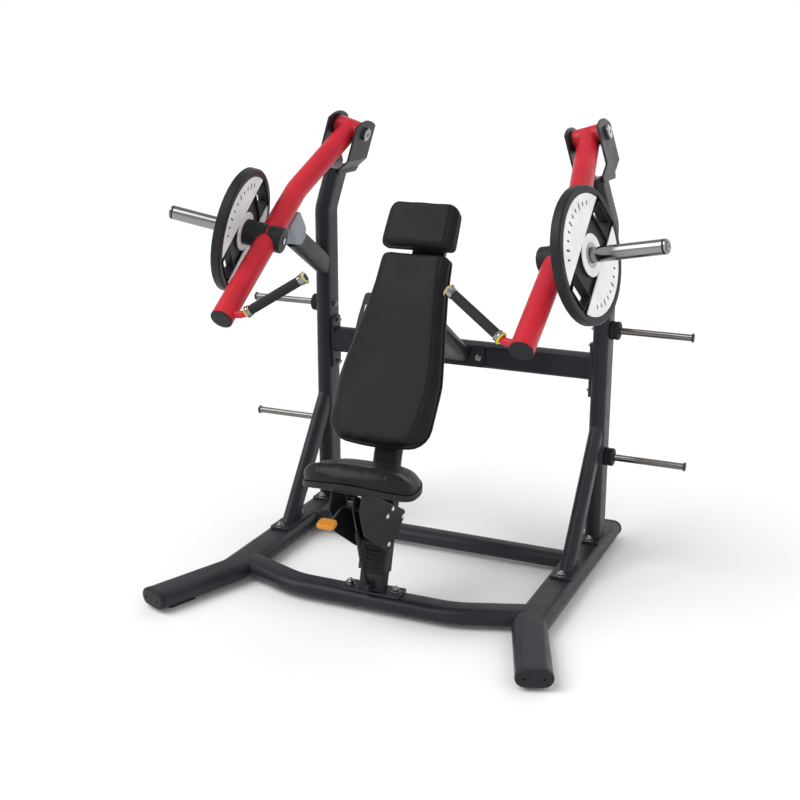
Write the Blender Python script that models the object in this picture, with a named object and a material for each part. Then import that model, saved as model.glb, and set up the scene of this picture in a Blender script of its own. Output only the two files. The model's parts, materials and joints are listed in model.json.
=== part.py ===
"""Plate-loaded converging chest press machine.

Each physical piece is one named object. The right side is modelled and copied across X = 0.
Metres, +Z up, the user faces -Y, and the floor is Z = 0.
"""

from math import asin, cos, pi, radians, sin, tan

import bmesh
import bpy
from mathutils import Matrix, Vector

# Driving dimensions, in metres and degrees. Y = 0 is the uprights' middle until centre_on_origin.
GAP = 0.0003  # clearance between pieces that touch
TUBE = 0.060  # short side of every flat-oval frame tube

FOOT_HEIGHT = 0.014  # rubber foot under a rail
SIDE_X = 0.5645  # middle of a rail and of its upright
RAIL_WIDTH = 0.120
RAIL_Z = FOOT_HEIGHT + TUBE / 2
RAIL_TOP = RAIL_Z + TUBE / 2
RAIL_REAR_Y = 0.168
RAIL_BEND_Y = -0.775
RAIL_SPLAY = 21.0
SPLAY_LENGTH = 0.338
CAP_LENGTH = 0.020

FRONT_BAR_WIDTH = 0.100
FRONT_BAR_Y = -0.789
FRONT_BAR_BEND_X = 0.300
FRONT_BAR_SWEEP = 20.5
REAR_BAR_WIDTH = 0.080
REAR_BAR_Y = -0.200

PLATE_STEEL = 0.008
FOOT_PLATE_TOP = RAIL_TOP + PLATE_STEEL
FOOT_PLATE_SIZE = (0.080, 0.190)
UPRIGHT_DEPTH = 0.120
UPRIGHT_BEND_Z = 1.262
LEAN = 17.0  # inward lean of the upright's top
LEAN_LENGTH = 0.170
BRACE_SECTION = (0.050, 0.080)
BRACE_ANGLE = 36.7  # from the vertical
BRACE_TOP_Z = 0.4625

PIVOT_UP = 0.3165  # along the lean line, from the bend to the pivot
PIVOT_Y = 0.031
PIVOT_TUBE = 0.076
PIVOT_SHAFT = 0.030
BRACKET_INSIDE = 0.0563  # lean line to the inner face of a pivot plate
BRACKET_DEPTH = (-0.050, 0.112)

ARM_TUBE = 0.080
ARM_BEND = Vector((0.5340, -0.2950, 1.3650))
ARM_END = Vector((0.5330, -0.8420, 0.9950))
BOSS_AT = 0.3880  # share of the lower arm between its bend and its end
BOSS_DIAMETER = 0.088
BOSS_INNER = 0.052
BOSS_OUTER = 0.088
SLEEVE_TOE = 8.6
SLEEVE_TILT = 11.6
SLEEVE_DIAMETER = 0.050
SLEEVE_LENGTH = 0.293
SPIGOT = 0.030
DISC_DIAMETER = 0.450
DISC_THICKNESS = 0.036
DISC_BAND_ANGLE = 41.0

HANDLE_TUBE = 0.026
HANDLE_DROP = 0.022  # arm end to the handle's root, along the arm
GRIP_DIRECTION = Vector((-0.822, 0.222, 0.524)).normalized()
GRIP_LENGTH = 0.205
GRIP_DIAMETER = 0.032

BEAM_HEIGHT = 0.100
BEAM_Z = 0.739
END_PLATE_HEIGHT = 0.205
STRUT_RISE = 32.0

COLUMN_WIDTH = 0.100
COLUMN_DEPTH = 0.050
COLUMN_FOOT_Y = -0.7856
COLUMN_LEAN = 15.9
COLUMN_BEND_Z = 0.540
BACK_LEAN = 31.5
BACK_TOP_Z = 1.270
PAD_THICKNESS = 0.054
PAD_FRONT = Vector((0.0, -0.7423, 0.578))  # lowest middle point of the back pad's front
RACK_PITCH = 0.016
RACK_STEEL = 0.005
RACK_SLOTS = (-12, 4)  # counted up from the slot that the latch stands at

PEG_X = 0.892
PEG_DIAMETER = 0.025
PEG_HEIGHTS = (0.882, 0.398)

SEAT_Z = (0.500, 0.560)  # underside and top, along the middle
SEAT_Y = (-0.982, -0.735)
SEAT_WIDTH = 0.424
SEAT_DROOP = 0.030  # how much lower the seat's sides are than its middle
TRAY_WIDTH = 0.124
TRAY_TOP = 0.4965
CARRIAGE_INSIDE = 0.052
CARRIAGE_STEEL = 0.005
STRUT_LOW = Vector((0.0, -0.8400, 0.1080))
STRUT_HIGH = Vector((0.0, -0.9450, 0.4520))
LEVER_PIVOT = Vector((0.0, -0.7953, 0.3582))
LATCH_REACH = 0.0542  # lever pivot to the tooth's tip, which stands just clear of the rack
ORIGIN_SHIFT = 0.4702  # puts the middle of the machine's footprint at Y = 0

# Values worked out from the dimensions above.
X, Y, Z = Vector((1, 0, 0)), Vector((0, 1, 0)), Vector((0, 0, 1))
LEAN_UP = Vector((-sin(radians(LEAN)), 0, cos(radians(LEAN))))
LEAN_OUT = Vector((cos(radians(LEAN)), 0, sin(radians(LEAN))))
UPRIGHT_BEND = Vector((SIDE_X, 0, UPRIGHT_BEND_Z))
PIVOT = UPRIGHT_BEND + PIVOT_UP * LEAN_UP + PIVOT_Y * Y
ARM_DOWN = (ARM_END - ARM_BEND).normalized()
BOSS = ARM_BEND.lerp(ARM_END, BOSS_AT)
SLEEVE_OUT = Vector(
    (
        cos(radians(SLEEVE_TILT)) * cos(radians(SLEEVE_TOE)),
        -cos(radians(SLEEVE_TILT)) * sin(radians(SLEEVE_TOE)),
        sin(radians(SLEEVE_TILT)),
    )
)
HANDLE_ROOT = ARM_END - HANDLE_DROP * ARM_DOWN
GRIP_START = HANDLE_ROOT + Vector((-0.0900, 0.0190, 0.0170))
COLUMN_UP = Vector((0, sin(radians(COLUMN_LEAN)), cos(radians(COLUMN_LEAN))))
COLUMN_FORWARD = Vector((0, -COLUMN_UP.z, COLUMN_UP.y))
COLUMN_FOOT = Vector((0, COLUMN_FOOT_Y, FOOT_PLATE_TOP))
COLUMN_BEND = COLUMN_FOOT + COLUMN_UP * (COLUMN_BEND_Z - FOOT_PLATE_TOP) / COLUMN_UP.z
BACK_UP = Vector((0, sin(radians(BACK_LEAN)), cos(radians(BACK_LEAN))))
BACK_FORWARD = Vector((0, -BACK_UP.z, BACK_UP.y))


def new_collection(name):
    collection = bpy.data.collections.new(name)
    bpy.context.scene.collection.children.link(collection)
    return collection


def new_material(name, colour, metallic, roughness):
    material = bpy.data.materials.new(name)
    material.use_nodes = True
    shader = material.node_tree.nodes["Principled BSDF"]
    shader.inputs["Base Color"].default_value = (*colour, 1)
    shader.inputs["Metallic"].default_value = metallic
    shader.inputs["Roughness"].default_value = roughness
    material.diffuse_color = (*colour, 1)
    return material


# Flat outlines, as lists of (u, v).


def arc(centre, radius, start, end, steps):
    """Points of a circular arc, with both ends, from start to end degrees."""
    angles = [radians(start + (end - start) * i / steps) for i in range(steps + 1)]
    return [(centre[0] + radius * cos(a), centre[1] + radius * sin(a)) for a in angles]


def circle(diameter, steps=24):
    return arc((0, 0), diameter / 2, 0, 360, steps)[:-1]


def rounded_box(width, height, radius, steps=3):
    """A rectangle with round corners. A radius of half the height gives a flat oval."""
    u, v = width / 2 - radius, height / 2 - radius
    points = []
    for i, centre in enumerate(((u, v), (-u, v), (-u, -v), (u, -v))):
        points += arc(centre, radius, 90 * i, 90 * i + 90, steps)
    return [p for i, p in enumerate(points) if (Vector(p) - Vector(points[i - 1])).length > 1e-6]


def flat_oval(width, height=TUBE, grow=0.0):
    width, height = width + 2 * grow, height + 2 * grow
    return rounded_box(width, height, min(width, height) / 2, 4)


def rounded_corners(corners, steps=4):
    """An outline from (u, v, radius) corners, each radius drawn as an arc."""
    points = []
    for i, (u, v, radius) in enumerate(corners):
        here = Vector((u, v))
        before = (Vector(corners[i - 1][:2]) - here).normalized()
        after = (Vector(corners[(i + 1) % len(corners)][:2]) - here).normalized()
        points += [tuple(p) for p in fillet(here, before, after, radius, steps)]
    return points


def fillet(corner, before, after, radius, steps):
    """Points of an arc tangent to both directions out of a corner, in 2-D or 3-D."""
    half = before.angle(after) / 2
    if radius == 0 or half > pi / 2 - 1e-4:
        return [corner]
    centre = corner + (before + after).normalized() * radius / sin(half)
    start = corner + before * radius / tan(half) - centre
    end = corner + after * radius / tan(half) - centre
    turn = start.angle(end)
    points = []
    for i in range(steps + 1):
        share = i / steps
        weights = sin((1 - share) * turn) / sin(turn), sin(share * turn) / sin(turn)
        points.append(centre + start * weights[0] + end * weights[1])
    return points


# Solids. Each function returns an object in the collection PARTS.


def solid(name, mesh, material):
    """A new object from a bmesh, with its faces turned outwards."""
    bmesh.ops.recalc_face_normals(mesh, faces=mesh.faces)
    if mesh.calc_volume(signed=True) < 0:
        bmesh.ops.reverse_faces(mesh, faces=mesh.faces)
    data = bpy.data.meshes.new(name)
    mesh.to_mesh(data)
    mesh.free()
    data.materials.append(material)
    made = bpy.data.objects.new(name, data)
    PARTS.objects.link(made)
    return made


def loft(name, rings, material):
    """A closed solid through rings of the same number of points."""
    mesh = bmesh.new()
    loops = [[mesh.verts.new(p) for p in ring] for ring in rings]
    for low, high in zip(loops, loops[1:]):
        for i in range(len(low)):
            mesh.faces.new((low[i - 1], low[i], high[i], high[i - 1]))
    mesh.faces.new(loops[0])
    mesh.faces.new(reversed(loops[-1]))
    return solid(name, mesh, material)


def tube(name, path, outline, side, material, ends=(1.0, 1.0)):
    """An outline swept along a path. Its u axis stays on side, and ends scale the end rings."""
    rings = []
    for i, point in enumerate(path):
        before = (point - path[i - 1]).normalized() if i else None
        after = (path[i + 1] - point).normalized() if i + 1 < len(path) else None
        along = ((before or after) + (after or before)).normalized()
        stretch = 1 / max(along.dot(before or after), 0.5)
        across = (side - side.dot(along) * along).normalized()
        other = along.cross(across)
        scale = ends[0] if i == 0 else ends[1] if i + 1 == len(path) else 1.0
        rings.append([point + scale * (u * across + v * stretch * other) for u, v in outline])
    return loft(name, rings, material)


def rounded_path(points, radius, steps=5):
    """A polyline whose inner corners become arcs."""
    path = [points[0]]
    for before, here, after in zip(points, points[1:], points[2:]):
        path += fillet(
            here, (before - here).normalized(), (after - here).normalized(), radius, steps
        )
    return path + [points[-1]]


def prism(name, outline, origin, u_axis, v_axis, low, high, material):
    """An outline in the plane of two axes, made solid between two heights over it."""
    normal = u_axis.cross(v_axis)
    flat = [origin + u * u_axis + v * v_axis for u, v in outline]
    return loft(name, [[p + h * normal for p in flat] for h in (low, high)], material)


def block(name, low, high, material):
    size = [b - a for a, b in zip(low, high)]
    outline = [(0, 0), (size[0], 0), (size[0], size[1]), (0, size[1])]
    return prism(name, outline, Vector(low), X, Y, 0, size[2], material)


def rod(name, start, end, diameter, material, steps=20):
    axis = (end - start).normalized()
    side = axis.orthogonal().normalized()
    return tube(name, [start, end], circle(diameter, steps), side, material)


def turned(name, profile, origin, axis, material, steps=24):
    """A closed (radius, height) profile turned round an axis. A radius of 0 lies on it."""
    side = (Z - Z.dot(axis) * axis).normalized()
    other = axis.cross(side)
    mesh = bmesh.new()
    rows = []
    for radius, height in profile:
        middle = origin + height * axis
        if radius == 0:
            rows.append([mesh.verts.new(middle)])
            continue
        angles = [2 * pi * i / steps for i in range(steps)]
        rows.append(
            [mesh.verts.new(middle + radius * (cos(a) * side + sin(a) * other)) for a in angles]
        )
    for low, high in zip(rows, rows[1:] + rows[:1]):
        if len(low) == len(high) == 1:
            continue
        for i in range(steps):
            if len(low) == 1:
                mesh.faces.new((low[0], high[i], high[i - 1]))
            elif len(high) == 1:
                mesh.faces.new((low[i - 1], low[i], high[0]))
            else:
                mesh.faces.new((low[i - 1], low[i], high[i], high[i - 1]))
    return solid(name, mesh, material)


def combine(target, tools, operation):
    """Applies an exact Boolean with each tool, then removes the tools."""
    for tool in tools:
        modifier = target.modifiers.new(operation, "BOOLEAN")
        modifier.operation = operation
        modifier.solver = "EXACT"
        modifier.object = tool
        graph = bpy.context.evaluated_depsgraph_get()
        result = bpy.data.meshes.new_from_object(target.evaluated_get(graph))
        target.modifiers.clear()
        old, target.data = target.data, result
        bpy.data.meshes.remove(old)
        bpy.data.objects.remove(tool)
    return target


def join(target, *tools):
    return combine(target, tools, "UNION")


def cut(target, *tools):
    return combine(target, tools, "DIFFERENCE")


def keep_inside(target, *tools):
    return combine(target, tools, "INTERSECT")


def mirrored(source, name):
    """A copy of a right-hand piece on the left side."""
    mesh = bmesh.new()
    mesh.from_mesh(source.data)
    mesh.transform(Matrix.Scale(-1, 4, X) @ source.matrix_world)
    made = solid(name, mesh, source.data.materials[0])
    return made


def both_sides(piece):
    """Names a piece right_ and adds its left_ twin."""
    name = piece.name
    piece.name = "right_" + name
    return piece, mirrored(piece, "left_" + name)


def set_origin(piece, point):
    """Moves a piece's origin, with the solid left where it is."""
    piece.data.transform(Matrix.Translation(-point))
    piece.location = point


def hex_bolt(point, axis, size=0.016):
    """A washer with a hexagon on it, sunk 1 mm into the face it stands on."""
    washer = size * 0.9
    head = size * 0.85
    profile = [(0, -0.001), (washer, -0.001), (washer, 0.002), (0, 0.002)]
    made = turned("bolt", profile, point, axis, STEEL, 12)
    profile = [(0, 0.001), (head, 0.001), (head, size * 0.7), (0, size * 0.7)]
    return join(made, turned("head", profile, point, axis, STEEL, 6))


def domed_end(name, point, direction, side, outline, material):
    """A moulded cap over the end of a tube, with rounded edges."""
    steps = ((0, 1.02), (0.7, 1.02), (0.9, 0.97), (1.0, 0.88))
    other = direction.cross(side)
    rings = [
        [
            point + direction * (GAP + CAP_LENGTH * t) + k * (u * side + v * other)
            for u, v in outline
        ]
        for t, k in steps
    ]
    return loft(name, rings, material)


# Base frame.


def rail_path(rear_y=RAIL_REAR_Y, front=SPLAY_LENGTH):
    splay = Vector((sin(radians(RAIL_SPLAY)), -cos(radians(RAIL_SPLAY)), 0))
    bend = Vector((SIDE_X, RAIL_BEND_Y, RAIL_Z))
    return [Vector((SIDE_X, rear_y, RAIL_Z)), bend, bend + splay * front], splay


def upright_tube(name, grow=0.0):
    bottom = Vector((SIDE_X, 0, FOOT_PLATE_TOP - 0.001 - grow))
    top = UPRIGHT_BEND + LEAN_UP * (LEAN_LENGTH + grow)
    path = rounded_path([bottom, UPRIGHT_BEND, top], 0.15, 6)
    return tube(name, path, flat_oval(UPRIGHT_DEPTH, TUBE, grow), Y, FRAME)


def rail_tube(name, grow=0.0):
    corners, _ = rail_path()
    path = rounded_path(corners, 0.13, 6)
    return tube(name, path, flat_oval(TUBE, RAIL_WIDTH, grow), Z, FRAME)


def foot_plate(name, y):
    outline = rounded_box(*FOOT_PLATE_SIZE, 0.010, 3)
    return prism(name, outline, Vector((SIDE_X, y, 0)), X, Y, RAIL_TOP + GAP, FOOT_PLATE_TOP, FRAME)


def base_frame():
    corners, splay = rail_path()
    both_sides(rail_tube("base_rail"))
    across = splay.cross(Z)
    outline = flat_oval(RAIL_WIDTH)
    front = domed_end("rail_front_cap", corners[2], splay, across, outline, PLASTIC)
    for side in (-1, 1):
        face = corners[2] + splay * (CAP_LENGTH + 0.0005) + across * 0.032 * side
        cut(front, rod("screw_hole", face, face - splay * 0.006, 0.008, PLASTIC, 12))
    both_sides(front)
    both_sides(domed_end("rail_rear_cap", corners[0], Y, X, outline, PLASTIC))
    foot_outline = rounded_box(0.056, 0.112, 0.006, 2)
    for name, point, along in (
        ("front_foot", corners[2] - splay * 0.090, -splay),
        ("rear_foot", Vector((SIDE_X, 0.080, 0)), Y),
    ):
        origin = Vector((point.x, point.y, 0))
        both_sides(
            prism(
                name, foot_outline, origin, along.cross(Z), along, 0, FOOT_HEIGHT - GAP, RUBBER
            )
        )


def crossbars():
    sweep = radians(FRONT_BAR_SWEEP)
    end_y = FRONT_BAR_Y + (SIDE_X - FRONT_BAR_BEND_X) * tan(sweep)
    corners = [
        Vector((-SIDE_X, end_y, RAIL_Z)),
        Vector((-FRONT_BAR_BEND_X, FRONT_BAR_Y, RAIL_Z)),
        Vector((FRONT_BAR_BEND_X, FRONT_BAR_Y, RAIL_Z)),
        Vector((SIDE_X, end_y, RAIL_Z)),
    ]
    front = tube(
        "front_crossbar", rounded_path(corners, 0.28, 6), flat_oval(TUBE, FRONT_BAR_WIDTH), Z, FRAME
    )
    ends = [Vector((x, REAR_BAR_Y, RAIL_Z)) for x in (-SIDE_X, SIDE_X)]
    rear = tube("rear_crossbar", ends, flat_oval(TUBE, REAR_BAR_WIDTH), Z, FRAME)
    for bar in (front, rear):
        for rail in both_sides(rail_tube("cutter", GAP)):
            cut(bar, rail)


# Side frames.


def upright():
    post = join(upright_tube("upright"), foot_plate("foot", 0.005))
    for y in (-0.075, 0.085):
        join(post, hex_bolt(Vector((SIDE_X, y, FOOT_PLATE_TOP)), Z))
    both_sides(post)


def brace():
    slope = Vector((0, sin(radians(BRACE_ANGLE)), cos(radians(BRACE_ANGLE))))
    join_point = Vector((SIDE_X, -UPRIGHT_DEPTH / 2, BRACE_TOP_Z))
    foot_y = join_point.y - (BRACE_TOP_Z - FOOT_PLATE_TOP) * tan(radians(BRACE_ANGLE))
    low = join_point - slope * (BRACE_TOP_Z / slope.z)
    high = join_point + slope * 0.080
    piece = tube("brace", [low, high], flat_oval(*BRACE_SECTION), X, FRAME)
    cut(piece, upright_tube("cutter", GAP))
    cut(piece, block("cutter", (0, -1, -0.1), (1, 0.1, FOOT_PLATE_TOP - 0.002), FRAME))
    join(piece, foot_plate("foot", foot_y - 0.005))
    for y in (-0.085, 0.075):
        join(piece, hex_bolt(Vector((SIDE_X, foot_y - 0.005 + y, FOOT_PLATE_TOP)), Z))
    both_sides(piece)


def pivot_bracket():
    """Two joggled plates on the sides of the upright's top, with the pivot bore through them."""
    near = TUBE / 2 + GAP
    tab, kink, top = 0.172, 0.213, 0.368
    steel = PLATE_STEEL
    side_view = [(near, 0.148), (near, tab), (BRACKET_INSIDE, kink), (BRACKET_INSIDE, top)]
    side_view += [(u + steel, v) for u, v in reversed(side_view)]
    sag = 0.023
    back, front = BRACKET_DEPTH[1], BRACKET_DEPTH[0]
    half = (back - front) / 2
    radius = (half * half + sag * sag) / (2 * sag)
    edge = asin(half / radius) * 180 / pi
    shoulder = top - sag
    middle = (front + back) / 2
    outline = arc((middle, top - radius), radius, 90 - edge, 90 + edge, 8)
    outline += [(front, shoulder - 0.010), (front, 0.158), (front + 0.006, 0.152)]
    outline += [(back - 0.014, 0.152), (back, 0.166)]
    origin = UPRIGHT_BEND
    for name, sign in (("outer", 1), ("inner", -1)):
        view = [(u * sign, v) for u, v in side_view]
        plate = prism("pivot_plate_" + name, view, origin, LEAN_OUT, LEAN_UP, -0.2, 0.2, FRAME)
        shape = prism("cutter", outline, origin, Y, LEAN_UP, -0.1, 0.1, FRAME)
        keep_inside(plate, shape)
        ends = [PIVOT + LEAN_OUT * s for s in (-0.1, 0.1)]
        cut(plate, rod("bore", *ends, PIVOT_SHAFT + 2 * GAP, FRAME, 20))
        both_sides(plate)


def bumper_solid(name, grow=0.0):
    """The stop block, square to the lower arm and just clear of its underside."""
    down = Vector((0, ARM_DOWN.y, ARM_DOWN.z)).normalized()
    behind = Vector((0, -down.z, down.y))
    centre = ARM_BEND + ARM_DOWN * 0.110
    near, far = ARM_TUBE / 2 + 0.0008 - grow, 0.150 + grow
    half = 0.046 + grow
    chamfer = 0.026
    outline = [(-half, near + 0.008), (-half + 0.008, near), (half - 0.008, near)]
    outline += [(half, near + 0.008), (half, far - chamfer), (half - chamfer, far)]
    outline += [(-half + chamfer, far), (-half, far - chamfer)]
    return prism(name, outline, centre, down, behind, -0.030 - grow, 0.030 + grow, BUMPER)


def stop():
    """The arm's rest: a strut off the upright with a rubber block on its end."""
    start = Vector((SIDE_X, 0, 1.0250))
    end = Vector((ARM_BEND.x, -0.330, 1.2010))
    strut = tube("stop_strut", [start, end], flat_oval(0.050, 0.088), X, FRAME)
    cut(strut, upright_tube("cutter", GAP), bumper_solid("cutter", GAP))
    both_sides(strut)
    both_sides(bumper_solid("stop_block"))


def storage_pegs():
    for level, z in zip(("upper", "lower"), PEG_HEIGHTS):
        face = SIDE_X + TUBE / 2 + GAP
        base = Vector((face, 0, z))
        collar = [(0, 0), (0.028, 0), (0.030, 0.004), (0.030, 0.024), (0.026, 0.028)]
        length = PEG_X - face
        bar = [(PEG_DIAMETER / 2, 0.028), (PEG_DIAMETER / 2, length - 0.006)]
        tip = [(0.0155, length - 0.006), (0.0155, length - 0.001), (0.013, length), (0, length)]
        both_sides(turned("storage_peg_" + level, collar + bar + tip, base, X, STEEL, 18))


# Middle of the frame.


def mid_beam():
    reach = SIDE_X - TUBE / 2 - GAP
    ends = [Vector((x, 0, BEAM_Z)) for x in (-reach + 0.004, reach - 0.004)]
    beam = tube("mid_crossbeam", ends, rounded_box(TUBE, BEAM_HEIGHT, 0.022), Y, FRAME)
    centre = Vector((0, 0, 0.730))
    for side in (-1, 1):
        outline = rounded_box(0.064, END_PLATE_HEIGHT, 0.006, 2)
        low, high = sorted((side * reach, side * (reach - 0.010)))
        join(beam, prism("end_plate", outline, centre, Y, Z, low, high, FRAME))
        for z in (0.817, 0.645):
            join(beam, hex_bolt(Vector((side * (reach - 0.010), 0.008, z)), -side * X, 0.012))
    return beam


def back_support():
    """Flange on the beam's face, and one wide tube rising forwards to the back column."""
    face = -TUBE / 2 - GAP
    rise = Vector((0, -cos(radians(STRUT_RISE)), sin(radians(STRUT_RISE))))
    root = Vector((0, face, 0.741))
    piece = tube(
        "back_support", [root - 0.03 * rise, root + 0.50 * rise], flat_oval(0.120), X, FRAME
    )
    cut(piece, block("cutter", (-1, face - 0.004, 0), (1, 1, 2), FRAME))
    cut(piece, column_tube("cutter", GAP))
    front_of_column = prism(
        "cutter",
        [(-0.2, -0.4), (0.2, -0.4), (0.2, 1.0), (-0.2, 1.0)],
        COLUMN_BEND,
        X,
        BACK_UP,
        0,
        0.6,
        FRAME,
    )
    cut(piece, front_of_column)
    outline = rounded_box(0.232, 0.078, 0.006, 2)
    flange = prism(
        "flange", outline, Vector((0, face, 0.736)), X, Z, 0, PLATE_STEEL, FRAME
    )
    join(piece, flange)
    for x in (-0.094, 0.094):
        join(piece, hex_bolt(Vector((x, face - PLATE_STEEL, 0.735)), -Y, 0.012))
    return piece


def column_tube(name, grow=0.0):
    top = COLUMN_BEND + BACK_UP * (BACK_TOP_Z - COLUMN_BEND_Z) / BACK_UP.z
    foot = COLUMN_FOOT - COLUMN_UP * (0.02 + grow)
    path = rounded_path([foot, COLUMN_BEND, top + BACK_UP * grow], 0.12, 4)
    return tube(name, path, rounded_box(COLUMN_WIDTH + 2 * grow, COLUMN_DEPTH + 2 * grow, 0.020), X, FRAME)


def seat_column():
    column = column_tube("seat_column")
    cut(column, block("cutter", (-1, -1, -0.1), (1, 0, FOOT_PLATE_TOP - 0.002), FRAME))
    outline = rounded_box(0.224, 0.078, 0.008, 2)
    low = RAIL_TOP + GAP
    plate = prism(
        "plate", outline, Vector((0, COLUMN_FOOT_Y, 0)), X, Y, low, FOOT_PLATE_TOP, FRAME
    )
    join(column, plate)
    for x in (-0.086, 0.086):
        join(column, hex_bolt(Vector((x, COLUMN_FOOT_Y, FOOT_PLATE_TOP)), Z))
    for side in (-1, 1):
        ear = rounded_corners(
            [
                (STRUT_LOW.y - 0.013, STRUT_LOW.z - 0.013, 0.006),
                (COLUMN_FOOT_Y - 0.010, STRUT_LOW.z - 0.018, 0),
                (COLUMN_FOOT_Y - 0.010, STRUT_LOW.z + 0.013, 0),
                (STRUT_LOW.y - 0.013, STRUT_LOW.z + 0.013, 0.006),
            ],
            3,
        )
        low, high = sorted((side * 0.0095, side * 0.0135))
        join(column, prism("ear", ear, Vector((0, 0, 0)), Y, Z, low, high, FRAME))
    ends = [STRUT_LOW + X * x for x in (-0.015, 0.015)]
    return join(column, rod("pin", *ends, 0.008, FRAME, 16))


def rack():
    """The slotted strip on the column's front that the seat's latch drops into."""
    face = COLUMN_DEPTH / 2 + GAP
    origin = COLUMN_FOOT + COLUMN_FORWARD * face
    outline = rounded_box(0.080, 0.320, 0.006, 2)
    middle = origin + COLUMN_UP * 0.215
    strip = prism("height_rack", outline, middle, X, COLUMN_UP, 0, RACK_STEEL, RACK_BLACK)
    latch_c = (LEVER_PIVOT - origin).dot(COLUMN_UP)
    for i in range(*RACK_SLOTS):
        middle = origin + COLUMN_UP * (latch_c + i * RACK_PITCH)
        outline = rounded_box(0.054, 0.0076, 0.0015, 1)
        cut(strip, prism("slot", outline, middle, X, COLUMN_UP, -0.01, 0.01, FRAME))
    return strip


def back_frame():
    """The plate that the pads bolt to, on the back column's front."""
    outline = rounded_corners(
        [(-0.07, 0.055, 0.02), (0.07, 0.055, 0.02), (0.06, 0.845, 0.02), (-0.06, 0.845, 0.02)]
    )
    depth = (PAD_FRONT - COLUMN_BEND).dot(BACK_FORWARD)
    origin = PAD_FRONT - BACK_FORWARD * depth
    low = COLUMN_DEPTH / 2 + GAP
    high = depth - PAD_THICKNESS - GAP
    return prism("pad_plate", outline, origin, X, BACK_UP, low, high, FRAME)


def pads():
    back = rounded_corners(
        [
            (-0.190, 0.010, 0.080),
            (0.0, -0.012, 0.900),
            (0.190, 0.010, 0.080),
            (0.196, 0.230, 0.250),
            (0.143, 0.560, 0.900),
            (0.131, 0.694, 0.018),
            (-0.131, 0.694, 0.018),
            (-0.143, 0.560, 0.900),
            (-0.196, 0.230, 0.250),
        ],
        5,
    )
    origin = PAD_FRONT
    prism("back_pad", back, origin, X, BACK_UP, 0, PAD_THICKNESS, LEATHER)
    head = rounded_corners(
        [(-0.141, 0.706, 0.018), (0.141, 0.706, 0.018)]
        + [(0.134, 0.876, 0.034), (-0.134, 0.876, 0.034)],
        5,
    )
    front = origin + BACK_FORWARD * 0.010
    prism("head_pad", head, front, X, BACK_UP, 0, PAD_THICKNESS + 0.010, LEATHER)


def seat_pad():
    """A flat pad bent over X, so that its sides droop."""
    half = SEAT_WIDTH / 2
    middle = sum(SEAT_Y) / 2
    front, back = SEAT_Y[0] - middle, SEAT_Y[1] - middle
    right = [(half - 0.058, front, 0.060), (half, 0.012, 0.110), (half - 0.040, back, 0.060)]
    left = [(-u, v, radius) for u, v, radius in reversed(right)]
    outline = rounded_corners(left + right, 5)
    pad = prism("seat_pad", outline, Vector((0, middle, 0)), X, Y, *SEAT_Z, LEATHER)
    mesh = bmesh.new()
    mesh.from_mesh(pad.data)
    for i in range(-4, 5):
        everything = mesh.verts[:] + mesh.edges[:] + mesh.faces[:]
        bmesh.ops.bisect_plane(mesh, geom=everything, plane_co=X * half * i / 5, plane_no=X)
    for vert in mesh.verts:
        vert.co.z -= SEAT_DROOP * (vert.co.x / half) ** 2
    mesh.to_mesh(pad.data)
    mesh.free()


def accessory_bracket():
    """A flat plate with a window, off the left of the back column."""
    outline = rounded_corners(
        [
            (-0.052, 0.300, 0.010),
            (-0.052, 0.572, 0.010),
            (-0.216, 0.572, 0.014),
            (-0.222, 0.480, 0.020),
            (-0.222, 0.330, 0.010),
            (-0.150, 0.300, 0.010),
        ],
        3,
    )
    origin = PAD_FRONT - BACK_FORWARD * (PAD_THICKNESS + 0.022)
    plate = prism("accessory_bracket", outline, origin, X, BACK_UP, -0.006, 0, FRAME)
    window = rounded_box(0.048, 0.042, 0.005, 2)
    place = origin - X * 0.183 + BACK_UP * 0.508
    cut(plate, prism("cutter", window, place, X, BACK_UP, -0.01, 0.01, FRAME))
    return plate


# Press arms.


def press_arm():
    path = rounded_path([PIVOT, ARM_BEND, ARM_END], 0.20, 5)
    arm = tube("press_arm", path, circle(ARM_TUBE, 28), X, ARM_RED)
    half = BRACKET_INSIDE - 0.0046
    ends = [PIVOT + LEAN_OUT * s for s in (-half, half)]
    join(arm, rod("barrel", *ends, PIVOT_TUBE, ARM_RED, 28))
    ends = [BOSS + SLEEVE_OUT * s for s in (-BOSS_INNER, BOSS_OUTER)]
    join(arm, rod("boss", *ends, BOSS_DIAMETER, ARM_RED, 28))
    corners = [HANDLE_ROOT, GRIP_START - GRIP_DIRECTION * 0.030]
    corners += [GRIP_START + GRIP_DIRECTION * (GRIP_LENGTH + 0.012)]
    handle = tube("handle", rounded_path(corners, 0.050, 4), circle(HANDLE_TUBE, 16), Z, ARM_RED)
    join(arm, handle)
    ring = [GRIP_START - GRIP_DIRECTION * s for s in (0.012, 0.0005)]
    join(arm, rod("ring", *ring, 0.038, ARM_RED, 24))
    ends = [PIVOT + LEAN_OUT * s for s in (-0.1, 0.1)]
    cut(arm, rod("bore", *ends, 0.0406, ARM_RED, 20))
    ends = [BOSS + SLEEVE_OUT * s for s in (-0.1, 0.1)]
    cut(arm, rod("bore", *ends, SPIGOT + 2 * GAP, ARM_RED, 20))
    ends = [ARM_END - ARM_DOWN * 0.021, ARM_END + ARM_DOWN * 0.01]
    cut(arm, rod("bore", *ends, 0.0646, ARM_RED, 20))
    return arm


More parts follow.
